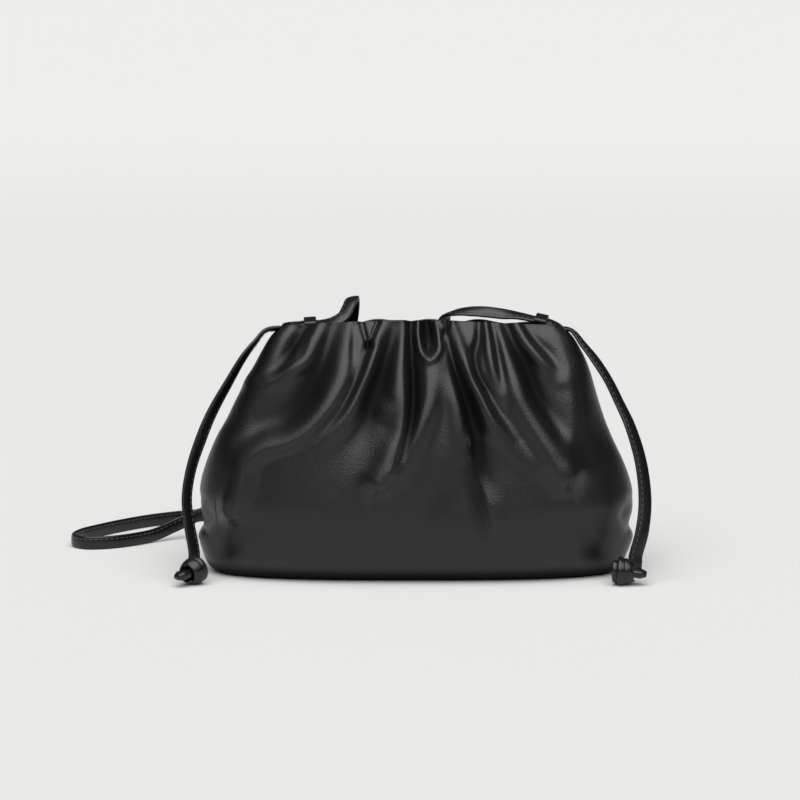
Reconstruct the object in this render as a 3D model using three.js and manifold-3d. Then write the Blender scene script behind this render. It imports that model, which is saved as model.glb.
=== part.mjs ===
// Soft leather pouch bag with a gathered mouth and one flat strap that is threaded through the rim.
// Millimetres. The origin is on the ground under the bag's middle, +X to the viewer's right,
// +Y away from the viewer, +Z up. The viewer looks at the front panel.
import * as THREE from "three";
import Module from "manifold-3d";
import { mergeVertices } from "three/addons/utils/BufferGeometryUtils.js";

const wasm = await Module();
wasm.setup();

// Driving sizes of the body
const BODY_HALF_WIDTH = 141;
const BODY_HALF_DEPTH = 55;
const RIM_HEIGHT = 160;
const FRONT_RIM_ARCH = 4;
const BACK_RIM_ARCH = 1;
const LEATHER_WALL = 1.8;
const SEAM_GAP = 0.3;
const FIT_GAP = 0.3;

// Driving sizes of the strap, its knots and its keepers
const STRAP_WIDTH = 9;
const STRAP_THICKNESS = 2.8;
const STRAP_EDGE_ROUNDING = 0.8;
const STRAP_STEP = 15;
const KNOT_RADIUS = 8.6;
const KNOT_LENGTH = 14;
const KNOT_GROOVE = 1.2;
const KNOT_WRAPS = 3;
const KNOT_END_LENGTH = 9;
const KNOT_END_RADIUS = 5.2;
const KEEPER_LENGTH = 8;
const KEEPER_WALL = 1.5;

// Cross-sections of the folds: ridges are a little rounder than creases. A fold has its middle
// height at this share of its path.
const RIDGE_ROUNDNESS = 2.4;
const CREASE_ROUNDNESS = 2.1;
const FOLD_MIDDLE = 0.45;

// How finely the soft pieces are faceted
const FRONT_COLUMNS = 58;
const FRONT_ROWS = 23;
const BACK_COLUMNS = 40;
const BACK_ROWS = 18;
const OUTLINE_SAMPLES = 240;
const FOLD_SAMPLES = 24;
const KNOT_SIDES = 14;

// Level sections of the body. Height is a share of the rim height, left and right are shares of
// the half width, depth is a share of the half depth, squareness is the superellipse exponent.
const SECTIONS = [
  { height: 0.0, left: 0.922, right: 0.9, depth: 0.66, squareness: 2.9 },
  { height: 0.025, left: 0.963, right: 0.945, depth: 0.79, squareness: 2.8 },
  { height: 0.075, left: 0.99, right: 0.972, depth: 0.915, squareness: 2.7 },
  { height: 0.14, left: 1.0, right: 0.99, depth: 0.975, squareness: 2.6 },
  { height: 0.22, left: 0.995, right: 0.994, depth: 1.0, squareness: 2.5 },
  { height: 0.3, left: 1.0, right: 1.002, depth: 0.995, squareness: 2.5 },
  { height: 0.373, left: 0.99, right: 0.986, depth: 0.97, squareness: 2.4 },
  { height: 0.453, left: 0.957, right: 0.952, depth: 0.925, squareness: 2.4 },
  { height: 0.547, left: 0.906, right: 0.901, depth: 0.865, squareness: 2.4 },
  { height: 0.64, left: 0.845, right: 0.856, depth: 0.79, squareness: 2.4 },
  { height: 0.745, left: 0.78, right: 0.812, depth: 0.685, squareness: 2.4 },
  { height: 0.832, left: 0.732, right: 0.775, depth: 0.57, squareness: 2.5 },
  { height: 0.9, left: 0.695, right: 0.737, depth: 0.455, squareness: 2.6 },
  { height: 0.963, left: 0.652, right: 0.69, depth: 0.335, squareness: 2.8 },
  { height: 1.0, left: 0.605, right: 0.64, depth: 0.25, squareness: 3.0 },
];

// Folds of the front. A path runs down the panel, as shares of the half width and rim height.
// Left and right are the widths of the two flanks in millimetres. Start, middle and end are the
// heights of the crest (below zero for a crease), and spread is how much the width grows.
const FRONT_FOLDS = [
  {
    name: "left corner flap",
    path: [[-0.58, 1.02], [-0.64, 0.91], [-0.7, 0.8], [-0.78, 0.68], [-0.85, 0.55], [-0.89, 0.44],
      [-0.9, 0.35]],
    left: 12, right: 9, start: 1.8, middle: 4.4, end: 2.4, spread: 1.2,
  },
  {
    name: "left pocket",
    path: [[-0.51, 1.01], [-0.56, 0.93], [-0.61, 0.86], [-0.69, 0.8]],
    left: 4.8, right: 4.2, start: -3.5, middle: -4.6, end: -1, spread: 0.9,
  },
  {
    name: "left hook",
    path: [[-0.42, 1.02], [-0.46, 0.94], [-0.5, 0.87], [-0.57, 0.83], [-0.64, 0.79], [-0.74, 0.78]],
    left: 5, right: 5.5, start: 3.6, middle: 5.2, end: 1, spread: 1.2,
  },
  {
    name: "left hollow",
    path: [[-0.36, 1.01], [-0.41, 0.9], [-0.46, 0.81], [-0.53, 0.71], [-0.62, 0.64], [-0.72, 0.6],
      [-0.79, 0.59]],
    left: 9, right: 8, start: -2.8, middle: -5, end: -1.4, spread: 1.3,
  },
  {
    name: "long elbow",
    path: [[-0.32, 1.01], [-0.33, 0.9], [-0.34, 0.8], [-0.39, 0.71], [-0.47, 0.62], [-0.57, 0.56],
      [-0.69, 0.53], [-0.76, 0.47], [-0.79, 0.38], [-0.82, 0.28]],
    left: 9.5, right: 6, start: 3, middle: 6, end: 7, spread: 1,
  },
  {
    name: "long crease",
    path: [[-0.22, 0.91], [-0.25, 0.83], [-0.29, 0.75], [-0.34, 0.68], [-0.41, 0.62], [-0.49, 0.56],
      [-0.6, 0.51], [-0.67, 0.48]],
    left: 3.2, right: 3.2, start: -4, middle: -3, end: -0.1, spread: 1.2,
  },
  {
    name: "long ridge",
    path: [[-0.13, 1.01], [-0.17, 0.94], [-0.21, 0.87], [-0.24, 0.8], [-0.28, 0.72], [-0.33, 0.66],
      [-0.41, 0.59], [-0.5, 0.54], [-0.6, 0.48]],
    left: 4.8, right: 7, start: 4, middle: 6, end: 0.4, spread: 1.3,
  },
  {
    name: "hollow beside the long ridge",
    path: [[-0.1, 0.98], [-0.13, 0.9], [-0.16, 0.81], [-0.2, 0.73], [-0.24, 0.62], [-0.3, 0.51],
      [-0.36, 0.39]],
    left: 6, right: 5.5, start: -3.5, middle: -5.6, end: -0.3, spread: 1.7,
  },
  {
    name: "centre ridge",
    path: [[-0.06, 1.02], [-0.07, 0.91], [-0.08, 0.82], [-0.07, 0.73], [-0.06, 0.65], [-0.07, 0.58],
      [-0.1, 0.52], [-0.13, 0.46], [-0.16, 0.41]],
    left: 7, right: 5, start: 3.2, middle: 4.4, end: 8, spread: 1.5,
  },
  {
    name: "centre crease",
    path: [[-0.03, 1.01], [-0.03, 0.9], [-0.02, 0.8], [-0.02, 0.71], [-0.03, 0.62], [-0.06, 0.53],
      [-0.1, 0.44], [-0.12, 0.39]],
    left: 3.4, right: 3.4, start: -4, middle: -5.5, end: -0.4, spread: 1,
  },
  {
    name: "drop pit",
    path: [[0.04, 1.02], [0.05, 0.96], [0.05, 0.91]],
    left: 3.8, right: 3.8, start: -5, middle: -5.5, end: -4, spread: 1,
  },
  {
    name: "ridge below the drop",
    path: [[0.06, 0.84], [0.06, 0.77], [0.05, 0.7], [0.02, 0.63], [-0.01, 0.56], [-0.04, 0.5],
      [-0.08, 0.44]],
    left: 6.5, right: 8, start: 4.6, middle: 5, end: 3, spread: 0.9,
  },
  {
    name: "middle hollow",
    path: [[0.14, 0.97], [0.17, 0.85], [0.2, 0.77], [0.23, 0.69], [0.25, 0.61], [0.27, 0.53],
      [0.3, 0.41], [0.34, 0.29], [0.38, 0.18]],
    left: 3, right: 6.5, start: -3.5, middle: -6.5, end: -0.4, spread: 1.2,
  },
  {
    name: "left of the middle crease",
    path: [[0.12, 0.87], [0.14, 0.79], [0.17, 0.7], [0.19, 0.6], [0.22, 0.51]],
    left: 6, right: 4, start: 1, middle: 2.6, end: 1.2, spread: 1,
  },
  {
    name: "middle crease",
    path: [[0.24, 0.53], [0.27, 0.4], [0.29, 0.31], [0.32, 0.22], [0.36, 0.12]],
    left: 7, right: 2.6, start: -2, middle: -3.2, end: -1, spread: 1,
  },
  {
    name: "right ridge",
    path: [[0.14, 1.01], [0.17, 0.94], [0.2, 0.87], [0.24, 0.79], [0.28, 0.72], [0.32, 0.65],
      [0.37, 0.59], [0.44, 0.52], [0.53, 0.46]],
    left: 4.8, right: 4.6, start: 4.2, middle: 6.4, end: 1.6, spread: 1.4,
  },
  {
    name: "right crease",
    path: [[0.29, 1.02], [0.28, 0.94], [0.26, 0.88], [0.27, 0.81], [0.31, 0.75], [0.34, 0.7],
      [0.4, 0.63], [0.45, 0.57]],
    left: 2.8, right: 2.8, start: -2.5, middle: -4, end: -0.3, spread: 1.2,
  },
  {
    name: "thin right ridge",
    path: [[0.3, 1.02], [0.32, 0.94], [0.33, 0.87], [0.35, 0.8], [0.38, 0.74]],
    left: 3.6, right: 3.4, start: 2, middle: 3.2, end: 0.6, spread: 1,
  },
  {
    name: "right sweep",
    path: [[0.38, 0.98], [0.4, 0.89], [0.43, 0.8], [0.46, 0.72], [0.51, 0.64], [0.56, 0.57],
      [0.61, 0.5], [0.65, 0.43]],
    left: 5, right: 6.5, start: 1.6, middle: 5, end: 9, spread: 1.9,
  },
  {
    name: "right hollow",
    path: [[0.4, 1], [0.45, 0.91], [0.5, 0.83], [0.54, 0.74], [0.59, 0.66], [0.64, 0.58], [0.66, 0.52]],
    left: 5, right: 5.5, start: -3.5, middle: -6, end: -0.8, spread: 1.3,
  },
  {
    name: "right inner ridge",
    path: [[0.44, 1.01], [0.48, 0.94], [0.53, 0.89], [0.59, 0.84], [0.64, 0.79]],
    left: 3.8, right: 4.4, start: 2.8, middle: 3.8, end: 1.2, spread: 1.2,
  },
  {
    name: "right corner flap",
    path: [[0.62, 1.02], [0.66, 0.93], [0.69, 0.84], [0.7, 0.74], [0.71, 0.64], [0.7, 0.55],
      [0.69, 0.47]],
    left: 7, right: 14, start: 2.4, middle: 4, end: 2.5, spread: 1.1,
  },
];

// Folds of the back, which hangs more evenly.
const BACK_FOLDS = [
  {
    name: "left back flap",
    path: [[-0.56, 0.99], [-0.7, 0.76], [-0.79, 0.5]],
    left: 10, right: 10, start: 3, middle: 3.8, end: 1.5, spread: 1.5,
  },
  {
    name: "left back ridge",
    path: [[-0.4, 0.99], [-0.45, 0.8], [-0.58, 0.55], [-0.64, 0.38]],
    left: 8, right: 8, start: 3.6, middle: 4.5, end: 2, spread: 1.6,
  },
  {
    name: "left back crease",
    path: [[-0.29, 0.99], [-0.3, 0.8], [-0.4, 0.56]],
    left: 7, right: 7, start: -3.4, middle: -4.2, end: -1.5, spread: 1.6,
  },
  {
    name: "long back ridge",
    path: [[-0.18, 0.99], [-0.2, 0.78], [-0.27, 0.54], [-0.38, 0.36]],
    left: 8, right: 8, start: 4, middle: 5, end: 1.6, spread: 1.6,
  },
  {
    name: "centre back crease",
    path: [[-0.06, 0.99], [-0.07, 0.76], [-0.1, 0.5]],
    left: 7, right: 7, start: -3.4, middle: -4.2, end: -1.4, spread: 1.6,
  },
  {
    name: "centre back ridge",
    path: [[0.06, 0.99], [0.05, 0.78], [0.07, 0.52]],
    left: 8, right: 8, start: 3.8, middle: 4.8, end: 2, spread: 1.7,
  },
  {
    name: "right back crease",
    path: [[0.17, 0.99], [0.18, 0.78], [0.25, 0.52]],
    left: 7, right: 7, start: -3.4, middle: -4.2, end: -1.5, spread: 1.6,
  },
  {
    name: "right back ridge",
    path: [[0.29, 0.99], [0.31, 0.78], [0.42, 0.5], [0.46, 0.34]],
    left: 8, right: 8, start: 4, middle: 5, end: 2, spread: 1.7,
  },
  {
    name: "right back hollow",
    path: [[0.42, 0.99], [0.46, 0.78], [0.55, 0.56]],
    left: 7, right: 7, start: -3, middle: -3.8, end: -1.4, spread: 1.5,
  },
  {
    name: "right back flap",
    path: [[0.58, 0.99], [0.7, 0.74], [0.74, 0.48]],
    left: 10, right: 10, start: 3, middle: 3.8, end: 1.6, spread: 1.5,
  },
];

// Dents of the two soft sides, shared by both panels so that the side seams meet.
const SIDE_DENTS = [
  {
    name: "left upper dent",
    path: [[-0.985, 0.3], [-0.95, 0.25], [-0.985, 0.19]],
    left: 4, right: 4, start: -1, middle: -1.8, end: -1.6, spread: 1,
  },
  {
    name: "left lower bulge",
    path: [[-1.0, 0.145], [-0.96, 0.11]],
    left: 5, right: 5, start: 1.6, middle: 1.2, end: 0.8, spread: 1,
  },
  {
    name: "right upper dent",
    path: [[0.985, 0.3], [0.95, 0.25], [0.985, 0.19]],
    left: 4, right: 4, start: -1, middle: -1.8, end: -1.6, spread: 1,
  },
  {
    name: "right lower bulge",
    path: [[0.995, 0.14], [0.96, 0.11]],
    left: 5, right: 5, start: 1.6, middle: 1.2, end: 0.8, spread: 1,
  },
];

// Routes of the strap's centre line, in millimetres. Facing is the way the flat side looks.
const LEFT_TAIL_ROUTE = [
  { at: [-97.6, -2.8, 157.2], facing: [0.5, -0.8, 0.3] },
  { at: [-104.4, -6, 149.8], facing: [0.55, -0.8, 0.2] },
  { at: [-111.4, -9.2, 141], facing: [0.6, -0.75, 0.1] },
  { at: [-121.2, -12.5, 124.6], facing: [0.65, -0.7, 0.2] },
  { at: [-131.8, -18, 105.6], facing: [0.7, -0.7, 0.2] },
  { at: [-138.5, -24, 89.6], facing: [0.75, -0.65, 0.1] },
  { at: [-144.6, -30, 70.5], facing: [0.8, -0.6, 0] },
  { at: [-146.9, -36, 52.8], facing: [0.8, -0.6, 0] },
  { at: [-144.8, -41.5, 36.2], facing: [0.75, -0.65, 0] },
  { at: [-141.6, -46.8, 18.2], facing: [0.7, -0.7, 0] },
];
const RIGHT_TAIL_ROUTE = [
  { at: [99.4, -1.2, 157.4], facing: [-0.8, 0.1, -0.7] },
  { at: [107, -6.3, 148.6], facing: [-0.8, 0.4, -0.6] },
  { at: [115, -11, 138.4], facing: [-0.8, 0.6, -0.4] },
  { at: [122.8, -15, 126.3], facing: [-0.8, 0.6, -0.3] },
  { at: [129.5, -19, 112.7], facing: [-0.75, 0.65, -0.2] },
  { at: [136.2, -25, 98], facing: [-0.65, 0.75, -0.1] },
  { at: [142.7, -32, 75.4], facing: [-0.5, 0.85, 0] },
  { at: [144.9, -39, 52], facing: [-0.35, 0.95, 0] },
  { at: [142.6, -45, 33], facing: [-0.2, 1, 0] },
  { at: [138.2, -48.7, 16.2], facing: [-0.2, 1, 0] },
];
const SHOULDER_ROUTE = [
  { at: [-76.5, 1.5, 160.8], facing: [-0.06, -0.2, 1] },
  { at: [-62, 1.5, 161.7], facing: [-0.06, -0.22, 1] },
  { at: [-54, 2.5, 162.6], facing: [-0.2, -0.6, 0.9] },
  { at: [-48, 4.5, 165.5], facing: [-0.45, -0.85, 0.5] },
  { at: [-45, 8, 170.8], facing: [-0.45, -0.8, 0.5] },
  { at: [-43, 13, 175], facing: [-0.3, -0.5, 0.9] },
  { at: [-42, 19, 176], facing: [-0.15, 0.3, 1] },
  { at: [-42, 25.6, 170.5], facing: [-0.1, 1, 0.6] },
  { at: [-43.5, 30.5, 158], facing: [-0.1, 1, 0.3] },
  { at: [-46, 37.8, 141], facing: [0, 1, 0.4] },
  { at: [-49.5, 47.8, 120], facing: [0, 1, 0.4] },
  { at: [-54, 57.5, 96], facing: [0, 1, 0.3] },
  { at: [-64, 67, 70], facing: [0.1, 1, 0.2] },
  { at: [-79, 79, 46], facing: [0.2, 1, 0.15] },
  { at: [-102, 90, 30], facing: [0.15, 1, 0.1] },
  { at: [-127, 97, 22], facing: [0, 1, 0] },
  { at: [-149.3, 99, 17.2], facing: [-0.2, 1, 0] },
  { at: [-168.7, 93, 9.6], facing: [-0.4, 1, 0] },
  { at: [-181, 84, 5.4], facing: [-0.6, 1, 0] },
  { at: [-195, 71, 4.6], facing: [-0.4, 1, 0] },
  { at: [-211, 61, 4.6], facing: [-0.2, 1, 0] },
  { at: [-226, 59.5, 4.6], facing: [0.3, 1, 0] },
  { at: [-235.5, 69, 4.6], facing: [1, 0.3, 0] },
  { at: [-233, 86, 4.6], facing: [1, -0.3, 0] },
  { at: [-223, 102, 4.6], facing: [1, -0.7, 0] },
  { at: [-209, 120, 4.6], facing: [0.9, -0.9, 0] },
  { at: [-190, 139, 4.6], facing: [0.7, -1, 0] },
  { at: [-165, 155, 4.6], facing: [0.4, -1, 0] },
  { at: [-132, 166, 4.6], facing: [0.2, -1, 0] },
  { at: [-95, 169, 4.6], facing: [0, -1, 0] },
  { at: [-57, 164, 4.6], facing: [-0.25, -1, 0] },
  { at: [-24, 149, 4.8], facing: [-0.5, -1, 0] },
  { at: [3, 128, 8], facing: [-0.6, -1, -0.2] },
  { at: [24, 104, 21], facing: [-0.4, -1, -0.6] },
  { at: [38, 84, 41], facing: [-0.1, -1, -0.7] },
  { at: [44, 69, 66], facing: [0, -1, -0.5] },
  { at: [43, 59.5, 92], facing: [0, -1, -0.45] },
  { at: [35, 50, 117], facing: [0, -1, -0.5] },
  { at: [25, 36.5, 140], facing: [0, -1, -0.6] },
  { at: [18, 25.5, 156.5], facing: [0.2, -1, -0.6] },
  { at: [19, 18.8, 164.4], facing: [0.5, -0.4, -1] },
  { at: [25.5, 14, 167.2], facing: [0.35, 0.2, -1] },
  { at: [35, 11, 168.2], facing: [0.1, 0.55, -0.85] },
  { at: [45, 9.2, 168], facing: [0, 0.7, -0.75] },
  { at: [55.5, 7.6, 166.9], facing: [-0.1, 0.7, -0.8] },
  { at: [65.5, 5.4, 165.9], facing: [-0.16, 0.38, -0.95] },
  { at: [75, 3.4, 164.1], facing: [-0.19, 0.28, -1] },
  { at: [87.5, 1.2, 161.5], facing: [-0.19, 0.26, -1] },
];

// Places of the knots
const LEFT_KNOT_CENTRE = [-142.4, -48.5, 8.8];
const LEFT_KNOT_AXIS = [-0.62, -0.72, -0.12];
const RIGHT_KNOT_CENTRE = [131, -49.8, 8.8];
const RIGHT_KNOT_AXIS = [0.97, -0.2, -0.1];

// Value of one column of a table at any share, by a smooth curve through its rows
function columnAt(table, column, share) {
  let row = 0;
  while (row < table.length - 2 && table[row + 1].height < share) row += 1;
  const slope = (i) => {
    const low = table[Math.max(0, i - 1)];
    const high = table[Math.min(table.length - 1, i + 1)];
    return (high[column] - low[column]) / (high.height - low.height);
  };
  const span = table[row + 1].height - table[row].height;
  const t = THREE.MathUtils.clamp((share - table[row].height) / span, 0, 1);
  const ease = t * t * (3 - 2 * t);
  const bend = span * t * (1 - t) * ((1 - t) * slope(row) - t * slope(row + 1));
  return table[row][column] * (1 - ease) + table[row + 1][column] * ease + bend;
}

// Half width, half depth and squareness of the section at a height, drawn in by an inset
function sectionAt(share, inset) {
  return {
    left: columnAt(SECTIONS, "left", share) * BODY_HALF_WIDTH - inset,
    right: columnAt(SECTIONS, "right", share) * BODY_HALF_WIDTH - inset,
    depth: columnAt(SECTIONS, "depth", share) * BODY_HALF_DEPTH - inset,
    squareness: columnAt(SECTIONS, "squareness", share),
  };
}

// Point of a section at an angle that runs from the left seam (0) to the right seam (pi)
function outlinePoint(section, angle) {
  const across = -Math.cos(angle);
  const width = across < 0 ? section.left : section.right;
  const power = 2 / section.squareness;
  const x = Math.sign(across) * width * Math.abs(across) ** power;
  const y = section.depth * Math.abs(Math.sin(angle)) ** power;
  return new THREE.Vector2(x, y);
}

// Outward direction of a section at the same angle
function outlineNormal(section, angle) {
  const across = -Math.cos(angle);
  const width = across < 0 ? section.left : section.right;
  const power = 2 - 2 / section.squareness;
  const x = (Math.sign(across) * Math.abs(across) ** power) / width;
  const y = Math.abs(Math.sin(angle)) ** power / section.depth;
  return new THREE.Vector2(x, y).normalize();
}

// Angles that divide a section's half outline into columns of equal length
function evenAngles(section, columns) {
  const points = [];
  for (let i = 0; i <= OUTLINE_SAMPLES; i += 1) {
    points.push(outlinePoint(section, (Math.PI * i) / OUTLINE_SAMPLES));
  }
  const lengths = [0];
  for (let i = 1; i <= OUTLINE_SAMPLES; i += 1) {
    lengths.push(lengths[i - 1] + points[i].distanceTo(points[i - 1]));
  }
  const angles = [];
  let sample = 0;
  for (let column = 0; column <= columns; column += 1) {
    const target = (lengths[OUTLINE_SAMPLES] * column) / columns;
    while (sample < OUTLINE_SAMPLES - 1 && lengths[sample + 1] < target) sample += 1;
    const part = (target - lengths[sample]) / (lengths[sample + 1] - lengths[sample]);
    angles.push((Math.PI * (sample + part)) / OUTLINE_SAMPLES);
  }
  return angles;
}

// A fold's path as points on the panel, seen from the front, in millimetres
function foldPath(fold) {
  const corners = fold.path.map(([x, z]) => new THREE.Vector3(x * BODY_HALF_WIDTH, z * RIM_HEIGHT, 0));
  return new THREE.CatmullRomCurve3(corners).getPoints(FOLD_SAMPLES);
}

// Height that one fold adds at a place on the panel
function foldHeight(fold, points, x, z) {
  let best = { distance: Infinity, side: 1, share: 0 };
  for (let i = 0; i < points.length - 1; i += 1) {
    const along = points[i + 1].clone().sub(points[i]);
    const offset = new THREE.Vector3(x, z, 0).sub(points[i]);
    const t = THREE.MathUtils.clamp(offset.dot(along) / along.lengthSq(), 0, 1);
    const distance = offset.distanceTo(along.clone().multiplyScalar(t));
    if (distance < best.distance) {
      const side = along.x * offset.y - along.y * offset.x;
      best = { distance, side, share: (i + t) / (points.length - 1) };
    }
  }
  const flank = best.side < 0 ? fold.left : fold.right;
  const width = flank * (1 + (fold.spread - 1) * best.share);
  const roundness = fold.start > 0 ? RIDGE_ROUNDNESS : CREASE_ROUNDNESS;
  return crestAt(fold, best.share) * Math.exp(-((best.distance / width) ** roundness));
}

// Height of a fold's crest along its path, eased from its start to its middle and its end
function crestAt(fold, share) {
  const ease = THREE.MathUtils.smoothstep;
  const rise = fold.start + (fold.middle - fold.start) * ease(share, 0, FOLD_MIDDLE);
  return rise + (fold.end - fold.middle) * ease(share, FOLD_MIDDLE, 1);
}

// Height that a whole table of folds adds at a place on the panel
function reliefOf(folds) {
  const paths = folds.map(foldPath);
  return (x, z) => folds.reduce((sum, fold, i) => sum + foldHeight(fold, paths[i], x, z), 0);
}

// Height of a point of the panel above the ground: the rim rises a little to its middle
function heightAt(share, x, section, arch) {
  const across = x < 0 ? x / section.left : x / section.right;
  return share * (RIM_HEIGHT + arch * (1 - across * across));
}

// One body panel: an outer and an inner skin with the same folds, closed round the edges
function panel(side, folds, columns, rows) {
  const arch = side < 0 ? FRONT_RIM_ARCH : BACK_RIM_ARCH;
  const relief = reliefOf([...folds, ...SIDE_DENTS]);
  const outer = [];
  const inner = [];
  for (let row = 0; row <= rows; row += 1) {
    const share = row / rows;
    const outside = sectionAt(share, 0);
    const inside = sectionAt(share, LEATHER_WALL);
    const angles = evenAngles(outside, columns);
    const outerRow = [];
    const innerRow = [];
    for (const angle of angles) {
      const edge = outlinePoint(outside, angle);
      const lining = outlinePoint(inside, angle);
      const normal = outlineNormal(outside, angle);
      const fold = relief(edge.x, share * RIM_HEIGHT) * normal.length();
      const z = heightAt(share, edge.x, outside, arch);
      const push = normal.multiplyScalar(fold);
      const place = (point) => {
        const y = SEAM_GAP / 2 + Math.max(0, point.y + push.y);
        return new THREE.Vector3(point.x + push.x, side * y, z);
      };
      outerRow.push(place(edge));
      innerRow.push(place(lining));
    }
    outer.push(outerRow);
    inner.push(innerRow);
  }
  return side < 0 ? slab(outer, inner) : slab(inner, outer);
}

// A closed solid between two grids of points: the first faces out when its rows run upwards
// and its columns run to the right as seen from outside
function slab(front, back) {
  const rows = front.length;
  const columns = front[0].length;
  const positions = [...front.flat(), ...back.flat()].flatMap((point) => point.toArray());
  const index = (layer, row, column) => (layer * rows + row) * columns + column;
  const faces = [];
  const quad = (a, b, c, d) => faces.push(a, b, c, a, c, d);
  for (let row = 0; row < rows - 1; row += 1) {
    for (let column = 0; column < columns - 1; column += 1) {
      const corners = [[row, column], [row, column + 1], [row + 1, column + 1], [row + 1, column]];
      quad(...corners.map(([r, c]) => index(0, r, c)));
      quad(...corners.map(([r, c]) => index(1, r, c)).reverse());
    }
  }
  const rim = [];
  for (let column = 0; column < columns - 1; column += 1) rim.push([0, column]);
  for (let row = 0; row < rows - 1; row += 1) rim.push([row, columns - 1]);
  for (let column = columns - 1; column > 0; column -= 1) rim.push([rows - 1, column]);
  for (let row = rows - 1; row > 0; row -= 1) rim.push([row, 0]);
  rim.forEach(([r, c], i) => {
    const [nextRow, nextColumn] = rim[(i + 1) % rim.length];
    quad(index(0, r, c), index(1, r, c), index(1, nextRow, nextColumn), index(0, nextRow, nextColumn));
  });
  return solid(positions, faces);
}

// A closed solid through rings of points, with flat ends
function loft(rings) {
  const sides = rings[0].length;
  const positions = rings.flat().flatMap((point) => point.toArray());
  const faces = [];
  for (let ring = 0; ring < rings.length - 1; ring += 1) {
    for (let side = 0; side < sides; side += 1) {
      const a = ring * sides + side;
      const b = ring * sides + ((side + 1) % sides);
      faces.push(a, b, b + sides, a, b + sides, a + sides);
    }
  }
  const last = (rings.length - 1) * sides;
  for (let side = 1; side < sides - 1; side += 1) {
    faces.push(0, side + 1, side);
    faces.push(last, last + side, last + side + 1);
  }
  return solid(positions, faces);
}

function solid(positions, faces) {
  const geometry = new THREE.BufferGeometry();
  geometry.setAttribute("position", new THREE.Float32BufferAttribute(positions, 3));
  geometry.setIndex(faces);
  geometry.computeVertexNormals();
  return geometry;
}

// The bottom of the bag: a flat plate inside the lower edges of the two panels
function basePlate() {
  const outline = sectionAt(0, LEATHER_WALL + SEAM_GAP);
  const angles = evenAngles(outline, BACK_COLUMNS);
  const near = angles.map((angle) => outlinePoint(outline, angle));
  const ring = near.slice(0, -1).map((point) => [point.x, -point.y]);
  const far = near.slice(1).reverse().map((point) => [point.x, point.y]);
  const edge = [...ring, ...far];
  const level = (z) => edge.map(([x, y]) => new THREE.Vector3(x, y, z));
  return loft([level(0), level(LEATHER_WALL)]);
}

// Cross-section of the folded strap: a flat bar with rolled edges, as width and thickness offsets
function strapSection() {
  const w = STRAP_WIDTH / 2;
  const t = STRAP_THICKNESS / 2;
  const r = STRAP_EDGE_ROUNDING;
  const right = [[w, -t + r], [w, t - r], [w - r, t]];
  const left = [[-w + r, t], [-w, t - r], [-w, -t + r], [-w + r, -t]];
  return [...right, ...left, [w - r, -t]];
}

// Stations along a route at even steps: the centre, and the directions along and across the strap
function stationsAlong(route) {
  const path = new THREE.CatmullRomCurve3(route.map((row) => new THREE.Vector3(...row.at)));
  const steps = Math.ceil(path.getLength() / STRAP_STEP);
  const stations = [];
  for (let step = 0; step <= steps; step += 1) {
    const share = path.getUtoTmapping(step / steps);
    const along = path.getTangent(share);
    const spot = share * (route.length - 1);
    const row = Math.min(route.length - 2, Math.floor(spot));
    const before = new THREE.Vector3(...route[row].facing).normalize();
    const after = new THREE.Vector3(...route[row + 1].facing).normalize();
    const facing = before.lerp(after, spot - row);
    const across = new THREE.Vector3().crossVectors(facing, along).normalize();
    const flat = new THREE.Vector3().crossVectors(along, across).normalize();
    stations.push({ centre: path.getPoint(share), across, flat });
  }
  return stations;
}

// The strap swept along a route, its flat side turned to each row's facing
function strapAlong(route) {
  const ringAt = ({ centre, across, flat }) =>
    strapSection().map(([w, t]) => centre.clone().addScaledVector(across, w).addScaledVector(flat, t));
  return loft(stationsAlong(route).map(ringAt));
}

// A manifold solid of a geometry, for joining pieces
function toManifold(geometry) {
  const bare = geometry.clone();
  bare.deleteAttribute("normal");
  bare.deleteAttribute("uv");
  const merged = mergeVertices(bare);
  const mesh = new wasm.Mesh({
    numProp: 3,
    vertProperties: merged.attributes.position.array,
    triVerts: new Uint32Array(merged.index.array),
  });
  return new wasm.Manifold(mesh);
}

function fromManifold(body) {
  const mesh = body.getMesh();
  return solid(Array.from(mesh.vertProperties), Array.from(mesh.triVerts));
}

// The strap's end tied on itself: wraps side by side round a rounded end that sticks out
function knot(centre, axis) {
  const profile = [new THREE.Vector2(0, -KNOT_LENGTH / 2)];
  const steps = KNOT_WRAPS * 4;
  for (let step = 0; step <= steps; step += 1) {
    const share = step / steps;
    const wave = Math.abs(Math.sin(Math.PI * KNOT_WRAPS * share));
    const barrel = 1 - 0.12 * (2 * share - 1) ** 2;
    const radius = (KNOT_RADIUS - KNOT_GROOVE * (1 - wave)) * barrel;
    profile.push(new THREE.Vector2(radius, (share - 0.5) * KNOT_LENGTH));
  }
  profile.push(new THREE.Vector2(0, KNOT_LENGTH / 2));
  const wraps = new THREE.LatheGeometry(profile, KNOT_SIDES);
  const end = new THREE.CapsuleGeometry(KNOT_END_RADIUS, KNOT_END_LENGTH, 3, KNOT_SIDES);
  end.translate(0, KNOT_LENGTH / 2, 0);
  const joined = fromManifold(toManifold(wraps).add(toManifold(end)));
  const up = new THREE.Vector3(0, 1, 0);
  const turn = new THREE.Quaternion().setFromUnitVectors(up, new THREE.Vector3(...axis).normalize());
  joined.applyQuaternion(turn);
  joined.translate(...centre);
  return joined;
}

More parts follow.
